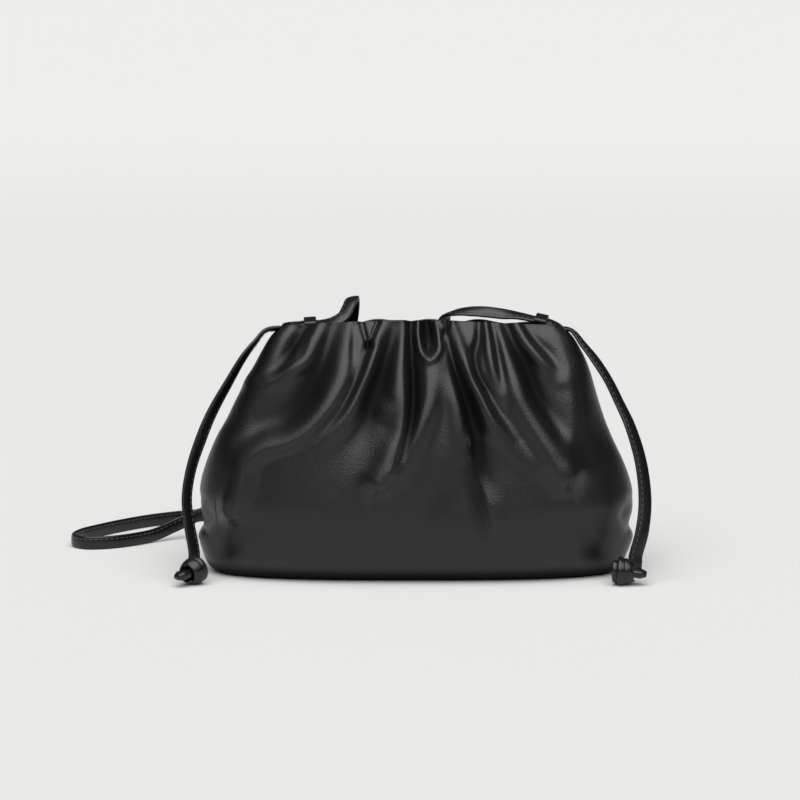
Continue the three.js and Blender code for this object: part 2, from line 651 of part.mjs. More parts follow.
// A small leather loop round the strap's first step, where the strap comes out of the rim
function keeper(route) {
  const [start, next] = stationsAlong(route);
  const centre = start.centre.clone().lerp(next.centre, 0.5);
  const along = next.centre.clone().sub(start.centre).normalize();
  const across = start.across.clone().add(next.across).normalize();
  const flat = new THREE.Vector3().crossVectors(along, across);
  const holeWidth = STRAP_WIDTH + 2 * FIT_GAP;
  const holeHeight = STRAP_THICKNESS + 2 * FIT_GAP;
  const outside = new THREE.BoxGeometry(
    KEEPER_LENGTH,
    holeWidth + 2 * KEEPER_WALL,
    holeHeight + 2 * KEEPER_WALL,
  );
  const hole = new THREE.BoxGeometry(2 * KEEPER_LENGTH, holeWidth, holeHeight);
  const loop = fromManifold(toManifold(outside).subtract(toManifold(hole)));
  loop.applyMatrix4(new THREE.Matrix4().makeBasis(along, across, flat).setPosition(centre));
  return loop;
}

function bodyLeather() {
  return new THREE.MeshStandardMaterial({ color: 0x1a1a1b, roughness: 0.45, metalness: 0 });
}

function baseLeather() {
  return new THREE.MeshStandardMaterial({ color: 0x161617, roughness: 0.55, metalness: 0 });
}

function strapLeather() {
  return new THREE.MeshStandardMaterial({ color: 0x151516, roughness: 0.35, metalness: 0 });
}

function add(group, name, geometry, material) {
  const mesh = new THREE.Mesh(geometry, material);
  mesh.name = name;
  group.add(mesh);
}

function bag() {
  const group = new THREE.Group();
  group.name = "gathered_pouch_bag";
  const arriving = [...SHOULDER_ROUTE].reverse();
  add(group, "front_panel", panel(-1, FRONT_FOLDS, FRONT_COLUMNS, FRONT_ROWS), bodyLeather());
  add(group, "back_panel", panel(1, BACK_FOLDS, BACK_COLUMNS, BACK_ROWS), bodyLeather());
  add(group, "base_panel", basePlate(), baseLeather());
  add(group, "keeper_left", keeper(SHOULDER_ROUTE), strapLeather());
  add(group, "keeper_right", keeper(arriving), strapLeather());
  add(group, "shoulder_strap", strapAlong(SHOULDER_ROUTE), strapLeather());
  add(group, "strap_tail_left", strapAlong(LEFT_TAIL_ROUTE), strapLeather());
  add(group, "strap_tail_right", strapAlong(RIGHT_TAIL_ROUTE), strapLeather());
  add(group, "knot_left", knot(LEFT_KNOT_CENTRE, LEFT_KNOT_AXIS), strapLeather());
  add(group, "knot_right", knot(RIGHT_KNOT_CENTRE, RIGHT_KNOT_AXIS), strapLeather());
  return group;
}

export default bag();
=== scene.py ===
# %% [markdown]
# # A soft leather pouch bag with a gathered mouth
#
# The real object is a small bag cut from thin black nappa leather. A flat folded strap runs
# through the rim, so that pulling it gathers the mouth into folds. Sizes and places repeat those
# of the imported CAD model. This file dresses it: each piece is built again at a finer scale, in
# the same frame, in metres, with X to the right, Y away from the viewer and Z up.

# %% Load the frame
import math

import bpy
import numpy as np
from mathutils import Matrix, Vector


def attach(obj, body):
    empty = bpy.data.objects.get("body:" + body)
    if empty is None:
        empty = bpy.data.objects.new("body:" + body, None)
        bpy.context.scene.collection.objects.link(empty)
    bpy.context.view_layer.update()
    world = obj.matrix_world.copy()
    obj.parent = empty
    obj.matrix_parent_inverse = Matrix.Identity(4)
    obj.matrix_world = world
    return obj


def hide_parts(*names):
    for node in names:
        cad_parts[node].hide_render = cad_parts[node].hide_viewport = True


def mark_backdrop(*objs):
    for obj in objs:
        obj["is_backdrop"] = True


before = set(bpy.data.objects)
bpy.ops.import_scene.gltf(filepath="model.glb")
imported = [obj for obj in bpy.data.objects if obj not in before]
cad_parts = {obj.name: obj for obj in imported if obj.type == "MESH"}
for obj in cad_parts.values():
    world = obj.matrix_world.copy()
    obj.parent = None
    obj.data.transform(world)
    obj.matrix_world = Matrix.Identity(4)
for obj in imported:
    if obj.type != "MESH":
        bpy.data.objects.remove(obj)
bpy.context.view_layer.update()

# %% [markdown]
# ## The camera
#
# The picture looks at the bag's front from a little above, with a long lens, so that the near
# and the far side keep nearly the same size. An object camera with a 100 mm lens does that. It
# is aimed by turning its own -Z axis towards a point in the middle of the frame.

# %% Camera
CAMERA_PLACE = Vector((-0.0110, -1.4304, 0.3125))
CAMERA_AIM = Vector((-0.0110, 0.0, 0.1115))


def photo_camera():
    data = bpy.data.cameras.new("photo_camera")
    data.lens = 100
    data.sensor_width = 36
    camera = bpy.data.objects.new("photo_camera", data)
    bpy.context.collection.objects.link(camera)
    camera.location = CAMERA_PLACE
    camera.rotation_euler = (CAMERA_AIM - CAMERA_PLACE).to_track_quat("-Z", "Y").to_euler()
    bpy.context.scene.camera = camera


photo_camera()
print("camera", round((CAMERA_AIM - CAMERA_PLACE).length, 3), "m from the bag")

# %% [markdown]
# ## Lines through a few points
#
# Straps and folds both follow smooth lines. A Catmull-Rom line passes through each of its points,
# so the points can lie on the object itself. The centripetal kind is used, because it
# makes no loops where two points lie close together. Blender's own curves could do this too, but
# the line is needed as numbers here, to measure how far each point of the leather is from it.


# %% Smooth lines
def smooth_line(points, per_span=16):
    """Points of a smooth line, and for each one where it lies between the given points."""
    points = np.asarray(points, float)
    first = 2 * points[0] - points[1]
    last = 2 * points[-1] - points[-2]
    padded = np.vstack([first, points, last])
    line, spots = [], []
    for i in range(1, len(padded) - 2):
        p0, p1, p2, p3 = padded[i - 1:i + 3]
        d0, d1, d2 = (math.sqrt(np.linalg.norm(b - a)) for a, b in ((p0, p1), (p1, p2), (p2, p3)))
        leave = ((p1 - p0) / d0 - (p2 - p0) / (d0 + d1) + (p2 - p1) / d1) * d1
        arrive = ((p2 - p1) / d1 - (p3 - p1) / (d1 + d2) + (p3 - p2) / d2) * d1
        t = np.linspace(0, 1, per_span, endpoint=False)[:, None]
        line.append((2 * t**3 - 3 * t**2 + 1) * p1 + (t**3 - 2 * t**2 + t) * leave
                    + (3 * t**2 - 2 * t**3) * p2 + (t**3 - t**2) * arrive)
        spots.append(i - 1 + t[:, 0])
    line.append(points[-1:])
    spots.append([len(points) - 1])
    return np.vstack(line), np.concatenate(spots)


def unit(vectors):
    return vectors / np.linalg.norm(vectors, axis=-1, keepdims=True)


def even_steps(line, step):
    """Where along a line its even steps fall, as places between its points."""
    lengths = np.concatenate([[0], np.cumsum(np.linalg.norm(np.diff(line, axis=0), axis=1))])
    count = max(2, round(lengths[-1] / step))
    return np.interp(np.linspace(0, lengths[-1], count + 1), lengths, np.arange(len(line)))


def pick(values, places):
    """Rows of a table at places between its rows."""
    low = np.minimum(places.astype(int), len(values) - 2)
    part = (places - low)[:, None]
    return values[low] * (1 - part) + values[low + 1] * part


print("a line through 3 points:", len(smooth_line([(0, 0), (1, 1), (2, 0)])[0]), "points")

# %% [markdown]
# ## Where the strap lies
#
# The strap comes out of the mouth at a keeper on the left, arches over the rim, runs down the
# back, makes a loop on the ground at the left, passes behind the bag and comes up to the keeper
# on the right. Its two ends leave the rim at the top corners and hang outside the body. A real
# strap keeps its length, so the routes are lists of points that are measured afterwards. Beside
# each point is the way that the strap's flat side looks there, which sets its twist. Near the
# rim the tails turn their edge to the viewer, so they look narrow there.

# %% Routes of the strap
LEFT_TAIL_ROUTE = [
    ((-0.0976, -0.0028, 0.1572), (0.8, -0.1, -0.7)),
    ((-0.1044, -0.006, 0.1498), (0.8, -0.25, -0.55)),
    ((-0.1114, -0.0092, 0.141), (0.85, -0.4, -0.4)),
    ((-0.1212, -0.0125, 0.1246), (0.85, -0.5, -0.2)),
    ((-0.1318, -0.018, 0.1056), (0.8, -0.6, 0)),
    ((-0.1385, -0.024, 0.0896), (0.75, -0.65, 0.1)),
    ((-0.1446, -0.03, 0.0705), (0.8, -0.6, 0)),
    ((-0.1469, -0.036, 0.0528), (0.8, -0.6, 0)),
    ((-0.1448, -0.0415, 0.0362), (0.75, -0.65, 0)),
    ((-0.1416, -0.0468, 0.0182), (0.7, -0.7, 0)),
]
RIGHT_TAIL_ROUTE = [
    ((0.0994, -0.0012, 0.1574), (-0.8, 0.1, -0.7)),
    ((0.107, -0.0063, 0.1486), (-0.8, 0.4, -0.6)),
    ((0.115, -0.011, 0.1384), (-0.8, 0.6, -0.4)),
    ((0.1228, -0.015, 0.1263), (-0.8, 0.6, -0.3)),
    ((0.1295, -0.019, 0.1127), (-0.75, 0.65, -0.2)),
    ((0.1362, -0.025, 0.098), (-0.65, 0.75, -0.1)),
    ((0.1427, -0.032, 0.0754), (-0.5, 0.85, 0)),
    ((0.1449, -0.039, 0.052), (-0.35, 0.95, 0)),
    ((0.1426, -0.045, 0.033), (-0.2, 1, 0)),
    ((0.1382, -0.0487, 0.0162), (-0.2, 1, 0)),
]
SHOULDER_ROUTE = [
    ((-0.0765, 0.0015, 0.1608), (-0.06, -0.2, 1)),
    ((-0.062, 0.0015, 0.1617), (-0.06, -0.22, 1)),
    ((-0.054, 0.0025, 0.1626), (-0.2, -0.6, 0.9)),
    ((-0.048, 0.0045, 0.1655), (-0.45, -0.85, 0.5)),
    ((-0.045, 0.008, 0.1708), (-0.45, -0.8, 0.5)),
    ((-0.043, 0.013, 0.175), (-0.3, -0.5, 0.9)),
    ((-0.042, 0.019, 0.176), (-0.15, 0.3, 1)),
    ((-0.042, 0.0256, 0.1705), (-0.1, 1, 0.6)),
    ((-0.0435, 0.0305, 0.158), (-0.1, 1, 0.3)),
    ((-0.046, 0.0378, 0.141), (0, 1, 0.4)),
    ((-0.0495, 0.0478, 0.12), (0, 1, 0.4)),
    ((-0.054, 0.0575, 0.096), (0, 1, 0.3)),
    ((-0.064, 0.067, 0.07), (0.1, 1, 0.2)),
    ((-0.079, 0.079, 0.046), (0.2, 1, 0.15)),
    ((-0.102, 0.09, 0.03), (0.15, 1, 0.1)),
    ((-0.127, 0.097, 0.022), (0, 1, 0)),
    ((-0.1493, 0.099, 0.0172), (-0.2, 1, 0)),
    ((-0.1687, 0.093, 0.0096), (-0.4, 1, 0)),
    ((-0.181, 0.084, 0.0054), (-0.6, 1, 0)),
    ((-0.195, 0.071, 0.0046), (-0.4, 1, 0)),
    ((-0.211, 0.061, 0.0046), (-0.2, 1, 0)),
    ((-0.226, 0.0595, 0.0046), (0.3, 1, 0)),
    ((-0.2355, 0.069, 0.0046), (1, 0.3, 0)),
    ((-0.233, 0.086, 0.0046), (1, -0.3, 0)),
    ((-0.223, 0.102, 0.0046), (1, -0.7, 0)),
    ((-0.209, 0.12, 0.0046), (0.9, -0.9, 0)),
    ((-0.19, 0.139, 0.0046), (0.7, -1, 0)),
    ((-0.165, 0.155, 0.0046), (0.4, -1, 0)),
    ((-0.132, 0.166, 0.0046), (0.2, -1, 0)),
    ((-0.095, 0.169, 0.0046), (0, -1, 0)),
    ((-0.057, 0.164, 0.0046), (-0.25, -1, 0)),
    ((-0.024, 0.149, 0.0048), (-0.5, -1, 0)),
    ((0.003, 0.128, 0.008), (-0.6, -1, -0.2)),
    ((0.024, 0.104, 0.021), (-0.4, -1, -0.6)),
    ((0.038, 0.084, 0.041), (-0.1, -1, -0.7)),
    ((0.044, 0.069, 0.066), (0, -1, -0.5)),
    ((0.043, 0.0595, 0.092), (0, -1, -0.45)),
    ((0.035, 0.05, 0.117), (0, -1, -0.5)),
    ((0.025, 0.0365, 0.14), (0, -1, -0.6)),
    ((0.018, 0.0255, 0.1565), (0.2, -1, -0.6)),
    ((0.019, 0.0188, 0.1644), (0.5, -0.4, -1)),
    ((0.0255, 0.014, 0.1672), (0.35, 0.2, -1)),
    ((0.035, 0.011, 0.1682), (0.1, 0.55, -0.85)),
    ((0.045, 0.0092, 0.168), (0, 0.7, -0.75)),
    ((0.0555, 0.0076, 0.1669), (-0.1, 0.7, -0.8)),
    ((0.0655, 0.0054, 0.1659), (-0.16, 0.38, -0.95)),
    ((0.075, 0.0034, 0.1641), (-0.19, 0.28, -1)),
    ((0.0875, 0.0012, 0.1615), (-0.19, 0.26, -1)),
]


def stations(route, step):
    """Centres along a route, with the directions along, across and out of the strap's flat."""
    line, spots = smooth_line([at for at, _ in route])
    facings = unit(np.array([facing for _, facing in route]))
    places = even_steps(line, step)
    centres = pick(line, places)
    facing = pick(facings, pick(spots[:, None], places)[:, 0])
    along = unit(np.gradient(centres, axis=0))
    across = unit(np.cross(facing, along))
    return centres, along, across, unit(np.cross(along, across))


def length_of(centres):
    return float(np.linalg.norm(np.diff(centres, axis=0), axis=1).sum())


for route_name, route in (("left tail", LEFT_TAIL_ROUTE), ("right tail", RIGHT_TAIL_ROUTE),
                          ("shoulder strap", SHOULDER_ROUTE)):
    print(route_name, "is", round(length_of(stations(route, 0.002)[0]), 3), "m long")

# %% [markdown]
# ## The body's sections
#
# The pouch is a soft shell: nearly a rounded rectangle where it stands, widest a third of the
# way up and drawn in to a narrow slit at the mouth. It could be sculpted, or blown up as cloth,
# but its shape follows a short table well. Each row gives a level section as a share of the
# bag's sizes, and the exponent says how square the section is. A curve through the rows makes
# the sides flow.

# %% Sizes and sections of the body
HALF_WIDTH = 0.141
HALF_DEPTH = 0.055
RIM_HEIGHT = 0.160
FRONT_RIM_ARCH = 0.004
BACK_RIM_ARCH = 0.001
RIM_FOLLOW = 0.25
LEATHER_WALL = 0.0018
SEAM_GAP = 0.0003
SEAM_DIP = 0.0007
SEAM_REACH = 0.0014
SEAM_STEP = 0.0007

# height, left, right, depth, squareness
SECTIONS = np.array([
    (0.0, 0.922, 0.9, 0.66, 2.9),
    (0.025, 0.963, 0.945, 0.79, 2.8),
    (0.075, 0.99, 0.972, 0.915, 2.7),
    (0.14, 1.0, 0.99, 0.975, 2.6),
    (0.22, 0.995, 0.994, 1.0, 2.5),
    (0.3, 1.0, 1.002, 0.995, 2.5),
    (0.373, 0.99, 0.986, 0.97, 2.4),
    (0.453, 0.957, 0.952, 0.925, 2.4),
    (0.547, 0.906, 0.901, 0.865, 2.4),
    (0.64, 0.845, 0.856, 0.79, 2.4),
    (0.745, 0.78, 0.812, 0.685, 2.4),
    (0.832, 0.732, 0.775, 0.57, 2.5),
    (0.9, 0.695, 0.737, 0.455, 2.6),
    (0.963, 0.652, 0.69, 0.335, 2.8),
    (1.0, 0.605, 0.64, 0.25, 3.0),
])


def column_at(column, share):
    """One column of the section table at any height, on a smooth curve through the rows."""
    heights, values = SECTIONS[:, 0], SECTIONS[:, column]
    slopes = np.empty(len(values))
    slopes[1:-1] = (values[2:] - values[:-2]) / (heights[2:] - heights[:-2])
    slopes[0] = (values[1] - values[0]) / (heights[1] - heights[0])
    slopes[-1] = (values[-1] - values[-2]) / (heights[-1] - heights[-2])
    row = int(np.clip(np.searchsorted(heights, share) - 1, 0, len(heights) - 2))
    span = heights[row + 1] - heights[row]
    t = min(max((share - heights[row]) / span, 0), 1)
    blend = t * t * (3 - 2 * t)
    bend = span * t * (1 - t) * ((1 - t) * slopes[row] - t * slopes[row + 1])
    return values[row] * (1 - blend) + values[row + 1] * blend + bend


def section_at(share, inset):
    left = column_at(1, share) * HALF_WIDTH - inset
    right = column_at(2, share) * HALF_WIDTH - inset
    depth = column_at(3, share) * HALF_DEPTH - inset
    return left, right, depth, column_at(4, share)


def outline(section, angles):
    """Points and outward directions of half a section, from its left seam to its right one."""
    left, right, depth, squareness = section
    across, out = -np.cos(angles), np.sin(angles)
    width = np.where(across < 0, left, right)
    power = 2 / squareness
    x = np.sign(across) * width * np.abs(across) ** power
    y = depth * np.abs(out) ** power
    normal_x = np.sign(across) * np.abs(across) ** (2 - power) / width
    normal_y = np.abs(out) ** (2 - power) / depth
    return np.stack([x, y], 1), unit(np.stack([normal_x, normal_y], 1))


def even_angles(section, columns):
    angles = np.linspace(0, math.pi, 1200)
    points, _ = outline(section, angles)
    lengths = np.concatenate([[0], np.cumsum(np.linalg.norm(np.diff(points, axis=0), axis=1))])
    return np.interp(np.linspace(0, lengths[-1], columns + 1), lengths, angles)


widest = max(section_at(share, 0)[0] + section_at(share, 0)[1] for share in np.linspace(0, 1, 50))
print("widest section", round(widest, 4), "m")

# %% [markdown]
# ## Folds of the gathered leather
#
# Gathers start close together at the rim, run down and outwards, and die out in the full lower
# half. Each fold is a row: its path down the panel as shares of the bag's sizes, the widths of
# its two flanks, its height at the start, middle and end, and how much it widens. A point of the
# leather is lifted by its distance from the path. A negative height is a crease. This keeps
# every fold of the picture in its own row, where a simulation would put them anywhere.

# %% Fold tables
# name, path, left flank, right flank, height at the start, middle and end (all mm), spread
FRONT_FOLDS = [
    ("left corner flap", [(-0.58, 1.02), (-0.64, 0.91), (-0.7, 0.8), (-0.78, 0.68), (-0.85, 0.55),
      (-0.89, 0.44), (-0.9, 0.35)], 12, 9, 1.8, 4.4, 2.4, 1.2),
    ("left pocket", [(-0.51, 1.01), (-0.56, 0.93), (-0.61, 0.86), (-0.69, 0.8)],
     4.8, 4.2, -3.5, -4.6, -1, 0.9),
    ("left hook", [(-0.42, 1.02), (-0.46, 0.94), (-0.5, 0.87), (-0.57, 0.83), (-0.64, 0.79),
      (-0.74, 0.78)], 5, 5.5, 3.6, 5.2, 1, 1.2),
    ("left hollow", [(-0.36, 1.01), (-0.41, 0.9), (-0.46, 0.81), (-0.53, 0.71), (-0.62, 0.64),
      (-0.72, 0.6), (-0.79, 0.59)], 9, 8, -2.8, -5, -1.4, 1.3),
    ("long elbow", [(-0.32, 1.01), (-0.33, 0.9), (-0.34, 0.8), (-0.39, 0.71), (-0.47, 0.62),
      (-0.57, 0.56), (-0.69, 0.53), (-0.76, 0.47), (-0.79, 0.38), (-0.82, 0.28)],
     9.5, 6, 3, 6, 7, 1),
    ("long crease", [(-0.22, 0.91), (-0.25, 0.83), (-0.29, 0.75), (-0.34, 0.68), (-0.41, 0.62),
      (-0.49, 0.56), (-0.6, 0.51), (-0.67, 0.48)], 3.2, 3.2, -4, -3, -0.1, 1.2),
    ("long ridge", [(-0.13, 1.01), (-0.17, 0.94), (-0.21, 0.87), (-0.24, 0.8), (-0.28, 0.72),
      (-0.33, 0.66), (-0.41, 0.59), (-0.5, 0.54), (-0.6, 0.48)], 4.8, 7, 4, 6, 0.4, 1.3),
    ("hollow beside the long ridge", [(-0.1, 0.98), (-0.13, 0.9), (-0.16, 0.81), (-0.2, 0.73),
      (-0.24, 0.62), (-0.3, 0.51), (-0.36, 0.39)], 6, 5.5, -3.5, -5.6, -0.3, 1.7),
    ("centre ridge", [(-0.06, 1.02), (-0.07, 0.91), (-0.08, 0.82), (-0.07, 0.73), (-0.06, 0.65),
      (-0.07, 0.58), (-0.1, 0.52), (-0.13, 0.46), (-0.16, 0.41)], 7, 5, 3.2, 4.4, 8, 1.5),
    ("centre crease", [(-0.03, 1.01), (-0.03, 0.9), (-0.02, 0.8), (-0.02, 0.71), (-0.03, 0.62),
      (-0.06, 0.53), (-0.1, 0.44), (-0.12, 0.39)], 3.4, 3.4, -4, -5.5, -0.4, 1),
    ("drop pit", [(0.04, 1.02), (0.05, 0.96), (0.05, 0.91)], 3.8, 3.8, -5, -5.5, -4, 1),
    ("ridge below the drop", [(0.06, 0.84), (0.06, 0.77), (0.05, 0.7), (0.02, 0.63), (-0.01, 0.56),
      (-0.04, 0.5), (-0.08, 0.44)], 6.5, 8, 4.6, 5, 3, 0.9),
    ("middle hollow", [(0.14, 0.97), (0.17, 0.85), (0.2, 0.77), (0.23, 0.69), (0.25, 0.61),
      (0.27, 0.53), (0.3, 0.41), (0.34, 0.29), (0.38, 0.18)], 3, 6.5, -3.5, -6.5, -0.4, 1.2),
    ("left of the middle crease", [(0.12, 0.87), (0.14, 0.79), (0.17, 0.7), (0.19, 0.6),
      (0.22, 0.51)], 6, 4, 1, 2.6, 1.2, 1),
    ("middle crease", [(0.24, 0.53), (0.27, 0.4), (0.29, 0.31), (0.32, 0.22), (0.36, 0.12)],
     7, 2.6, -2, -3.2, -1, 1),
    ("right ridge", [(0.14, 1.01), (0.17, 0.94), (0.2, 0.87), (0.24, 0.79), (0.28, 0.72),
      (0.32, 0.65), (0.37, 0.59), (0.44, 0.52), (0.53, 0.46)], 4.8, 4.6, 4.2, 6.4, 1.6, 1.4),
    ("right crease", [(0.29, 1.02), (0.28, 0.94), (0.26, 0.88), (0.27, 0.81), (0.31, 0.75),
      (0.34, 0.7), (0.4, 0.63), (0.45, 0.57)], 2.8, 2.8, -2.5, -4, -0.3, 1.2),
    ("thin right ridge", [(0.3, 1.02), (0.32, 0.94), (0.33, 0.87), (0.35, 0.8), (0.38, 0.74)],
     3.6, 3.4, 2, 3.2, 0.6, 1),
    ("right sweep", [(0.38, 0.98), (0.4, 0.89), (0.43, 0.8), (0.46, 0.72), (0.51, 0.64),
      (0.56, 0.57), (0.61, 0.5), (0.65, 0.43)], 5, 6.5, 1.6, 5, 9, 1.9),
    ("right hollow", [(0.4, 1), (0.45, 0.91), (0.5, 0.83), (0.54, 0.74), (0.59, 0.66),
      (0.64, 0.58), (0.66, 0.52)], 5, 5.5, -3.5, -6, -0.8, 1.3),
    ("right inner ridge", [(0.44, 1.01), (0.48, 0.94), (0.53, 0.89), (0.59, 0.84), (0.64, 0.79)],
     3.8, 4.4, 2.8, 3.8, 1.2, 1.2),
    ("right corner flap", [(0.62, 1.02), (0.66, 0.93), (0.69, 0.84), (0.7, 0.74), (0.71, 0.64),
      (0.7, 0.55), (0.69, 0.47)], 7, 14, 2.4, 4, 0.8, 1.1),
]
FINE_FOLDS = [
    ("left inner ridge", [(-0.5, 0.95), (-0.55, 0.9), (-0.61, 0.86)], 3, 3, 0.6, 1.6, 0.4, 1),
    ("elbow groove", [(-0.29, 0.98), (-0.29, 0.91), (-0.29, 0.83)], 2.2, 2.2, -0.6, -1, -0.3, 1),
    ("left pleat line", [(-0.26, 1.02), (-0.24, 0.96), (-0.22, 0.91)], 1.5, 1.5, -1.5, -2, -2.4, 1),
    ("right pleat line", [(-0.17, 1.02), (-0.2, 0.96), (-0.22, 0.91)], 1.5, 1.5, -1.5, -2, -2.4, 1),
    ("soft bump", [(-0.13, 0.73), (-0.15, 0.67), (-0.17, 0.62)], 7, 6, 0.4, 1.6, 0.2, 1),
    ("drop pleat", [(0.01, 1.02), (0, 0.96), (0.01, 0.92), (0.03, 0.88), (0.05, 0.87),
      (0.08, 0.88), (0.1, 0.91), (0.09, 0.96), (0.07, 1.02)], 2.8, 2.8, 2.2, 3.2, 2.2, 1),
    ("crease lip", [(0.28, 0.42), (0.31, 0.36), (0.34, 0.28), (0.37, 0.2), (0.39, 0.13)],
     2.4, 8, 0.2, 2, 0.8, 1),
    ("small pleat line", [(0.15, 1.01), (0.13, 0.97), (0.11, 0.93)], 1.5, 1.5, -2, -1.6, -0.6, 1),
    ("thin right hollow", [(0.34, 1), (0.36, 0.92), (0.38, 0.83), (0.4, 0.74)],
     3, 3, -1.6, -2.6, -0.2, 1),
    ("right inner hollow", [(0.49, 1), (0.54, 0.94), (0.6, 0.89), (0.64, 0.84)],
     3.4, 3.4, -1.2, -2, -0.6, 1),
    ("small bump", [(0.24, 0.59), (0.26, 0.56)], 3, 3, 1, 1.4, 1, 1),
    ("low soft hollow", [(0.23, 0.45), (0.11, 0.32), (-0.03, 0.17)], 14, 12, -1, -2.4, -0.8, 1.2),
]
BACK_FOLDS = [
    ("left back flap", [(-0.56, 0.99), (-0.7, 0.76), (-0.79, 0.5)], 10, 10, 3, 3.8, 1.5, 1.5),
    ("left back ridge", [(-0.4, 0.99), (-0.45, 0.8), (-0.58, 0.55), (-0.64, 0.38)],
     8, 8, 3.6, 4.5, 2, 1.6),
    ("left back crease", [(-0.29, 0.99), (-0.3, 0.8), (-0.4, 0.56)], 7, 7, -3.4, -4.2, -1.5, 1.6),
    ("long back ridge", [(-0.18, 0.99), (-0.2, 0.78), (-0.27, 0.54), (-0.38, 0.36)],
     8, 8, 4, 5, 1.6, 1.6),
    ("centre back crease", [(-0.06, 0.99), (-0.07, 0.76), (-0.1, 0.5)],
     7, 7, -3.4, -4.2, -1.4, 1.6),
    ("centre back ridge", [(0.06, 0.99), (0.05, 0.78), (0.07, 0.52)], 8, 8, 3.8, 4.8, 2, 1.7),
    ("right back crease", [(0.17, 0.99), (0.18, 0.78), (0.25, 0.52)], 7, 7, -3.4, -4.2, -1.5, 1.6),
    ("right back ridge", [(0.29, 0.99), (0.31, 0.78), (0.42, 0.5), (0.46, 0.34)],
     8, 8, 4, 5, 2, 1.7),
    ("right back hollow", [(0.42, 0.99), (0.46, 0.78), (0.55, 0.56)], 7, 7, -3, -3.8, -1.4, 1.5),
    ("right back flap", [(0.58, 0.99), (0.7, 0.74), (0.74, 0.48)], 10, 10, 3, 3.8, 1.6, 1.5),
]
SIDE_DENTS = [
    ("left upper dent", [(-0.985, 0.3), (-0.95, 0.25), (-0.985, 0.19)], 4, 4, -1, -1.8, -1.6, 1),
    ("left lower bulge", [(-1, 0.145), (-0.96, 0.11)], 5, 5, 1.6, 1.2, 0.8, 1),
    ("right upper dent", [(0.985, 0.3), (0.95, 0.25), (0.985, 0.19)], 4, 4, -1, -1.8, -1.6, 1),
    ("right lower bulge", [(0.995, 0.14), (0.96, 0.11)], 5, 5, 1.6, 1.2, 0.8, 1),
]

START_HEIGHT = 4
RIDGE_ROUNDNESS = 2.4
CREASE_ROUNDNESS = 2.1
FOLD_MIDDLE = 0.45


def ease(part):
    return part * part * (3 - 2 * part)


def fold_height(fold, x, z):
    """Height in millimetres that one fold adds at places x, z of the panel, in millimetres."""
    _, path, left, right, start, middle, end, spread = fold
    corners = [(a * HALF_WIDTH * 1000, b * RIM_HEIGHT * 1000) for a, b in path]
    line, _ = smooth_line(corners, 7)
    nearest = np.full(x.shape, 1e9)
    side = np.zeros(x.shape)
    share = np.zeros(x.shape)
    for i, (a, b) in enumerate(zip(line[:-1], line[1:])):
        dx, dz = b - a
        t = np.clip(((x - a[0]) * dx + (z - a[1]) * dz) / (dx * dx + dz * dz), 0, 1)
        distance = np.hypot(x - a[0] - t * dx, z - a[1] - t * dz)
        closer = distance < nearest
        nearest = np.where(closer, distance, nearest)
        side = np.where(closer, dx * (z - a[1]) - dz * (x - a[0]), side)
        share = np.where(closer, (i + t) / (len(line) - 1), share)
    width = np.where(side < 0, left, right) * (1 + (spread - 1) * share)
    rise = np.clip(share / FOLD_MIDDLE, 0, 1)
    fall = np.clip((share - FOLD_MIDDLE) / (1 - FOLD_MIDDLE), 0, 1)
    crest = start + (middle - start) * ease(rise) + (end - middle) * ease(fall)
    roundness = RIDGE_ROUNDNESS if start > 0 else CREASE_ROUNDNESS
    return crest * np.exp(-((nearest / width) ** roundness))


def relief(folds, x, z):
    return sum(fold_height(fold, x * 1000, z * 1000) for fold in folds) / 1000


print(len(FRONT_FOLDS), "front folds,", len(BACK_FOLDS), "back folds,", len(SIDE_DENTS), "dents")


# %% [markdown]
# ## Building a mesh from grids
#
# Every soft piece here is a grid of points joined by four-sided faces. One helper turns points
# and faces into a finished object with smooth shading and its materials.


# %% Mesh helper
def make_piece(name, points, faces, materials=(), face_material=None):
    mesh = bpy.data.meshes.new(name)
    mesh.from_pydata([tuple(p) for p in points], [], [tuple(f) for f in faces])
    for material in materials:
        mesh.materials.append(material)
    if face_material is not None:
        mesh.polygons.foreach_set("material_index", np.asarray(face_material, np.int32))
    mesh.polygons.foreach_set("use_smooth", np.ones(len(mesh.polygons), bool))
    mesh.update()
    piece = bpy.data.objects.new(name, mesh)
    bpy.context.collection.objects.link(piece)
    return piece


def grid_faces(rows, columns, flip=False, closed=False, looped=False):
    """Faces of a grid of points numbered row by row. Closed joins its columns, looped its rows."""
    r = np.arange(rows if looped else rows - 1)[:, None]
    c = np.arange(columns if closed else columns - 1)[None, :]
    below, after = (r + 1) % rows, (c + 1) % columns
    faces = np.stack([r * columns + c, r * columns + after,
                      below * columns + after, below * columns + c], -1).reshape(-1, 4)
    return faces[:, ::-1] if flip else faces


print("a grid of 3 rows and 4 columns has", len(grid_faces(3, 4)), "faces")


# %% [markdown]
# ## Shader maths as formulas
#
# A finish is easier to read as a formula than as a tangle of nodes. A small class wraps a node's
# output, so that plus and times add Math nodes. Any other node comes from one function that takes
# its type, its settings and what goes into its sockets.


# %% Shader helper
def add_node(tree, kind, settings=None, sockets=None):
    """A new node of a tree, with its settings, and its sockets set or linked."""
    made = tree.nodes.new(kind)
    for key, value in (settings or {}).items():
        setattr(made, key, value)
    feed(made, sockets or {})
    return made


def feed(made, sockets):
    for key, value in sockets.items():
        value = getattr(value, "socket", value)
        if isinstance(value, bpy.types.NodeSocket):
            made.id_data.links.new(value, made.inputs[key])
        else:
            made.inputs[key].default_value = value


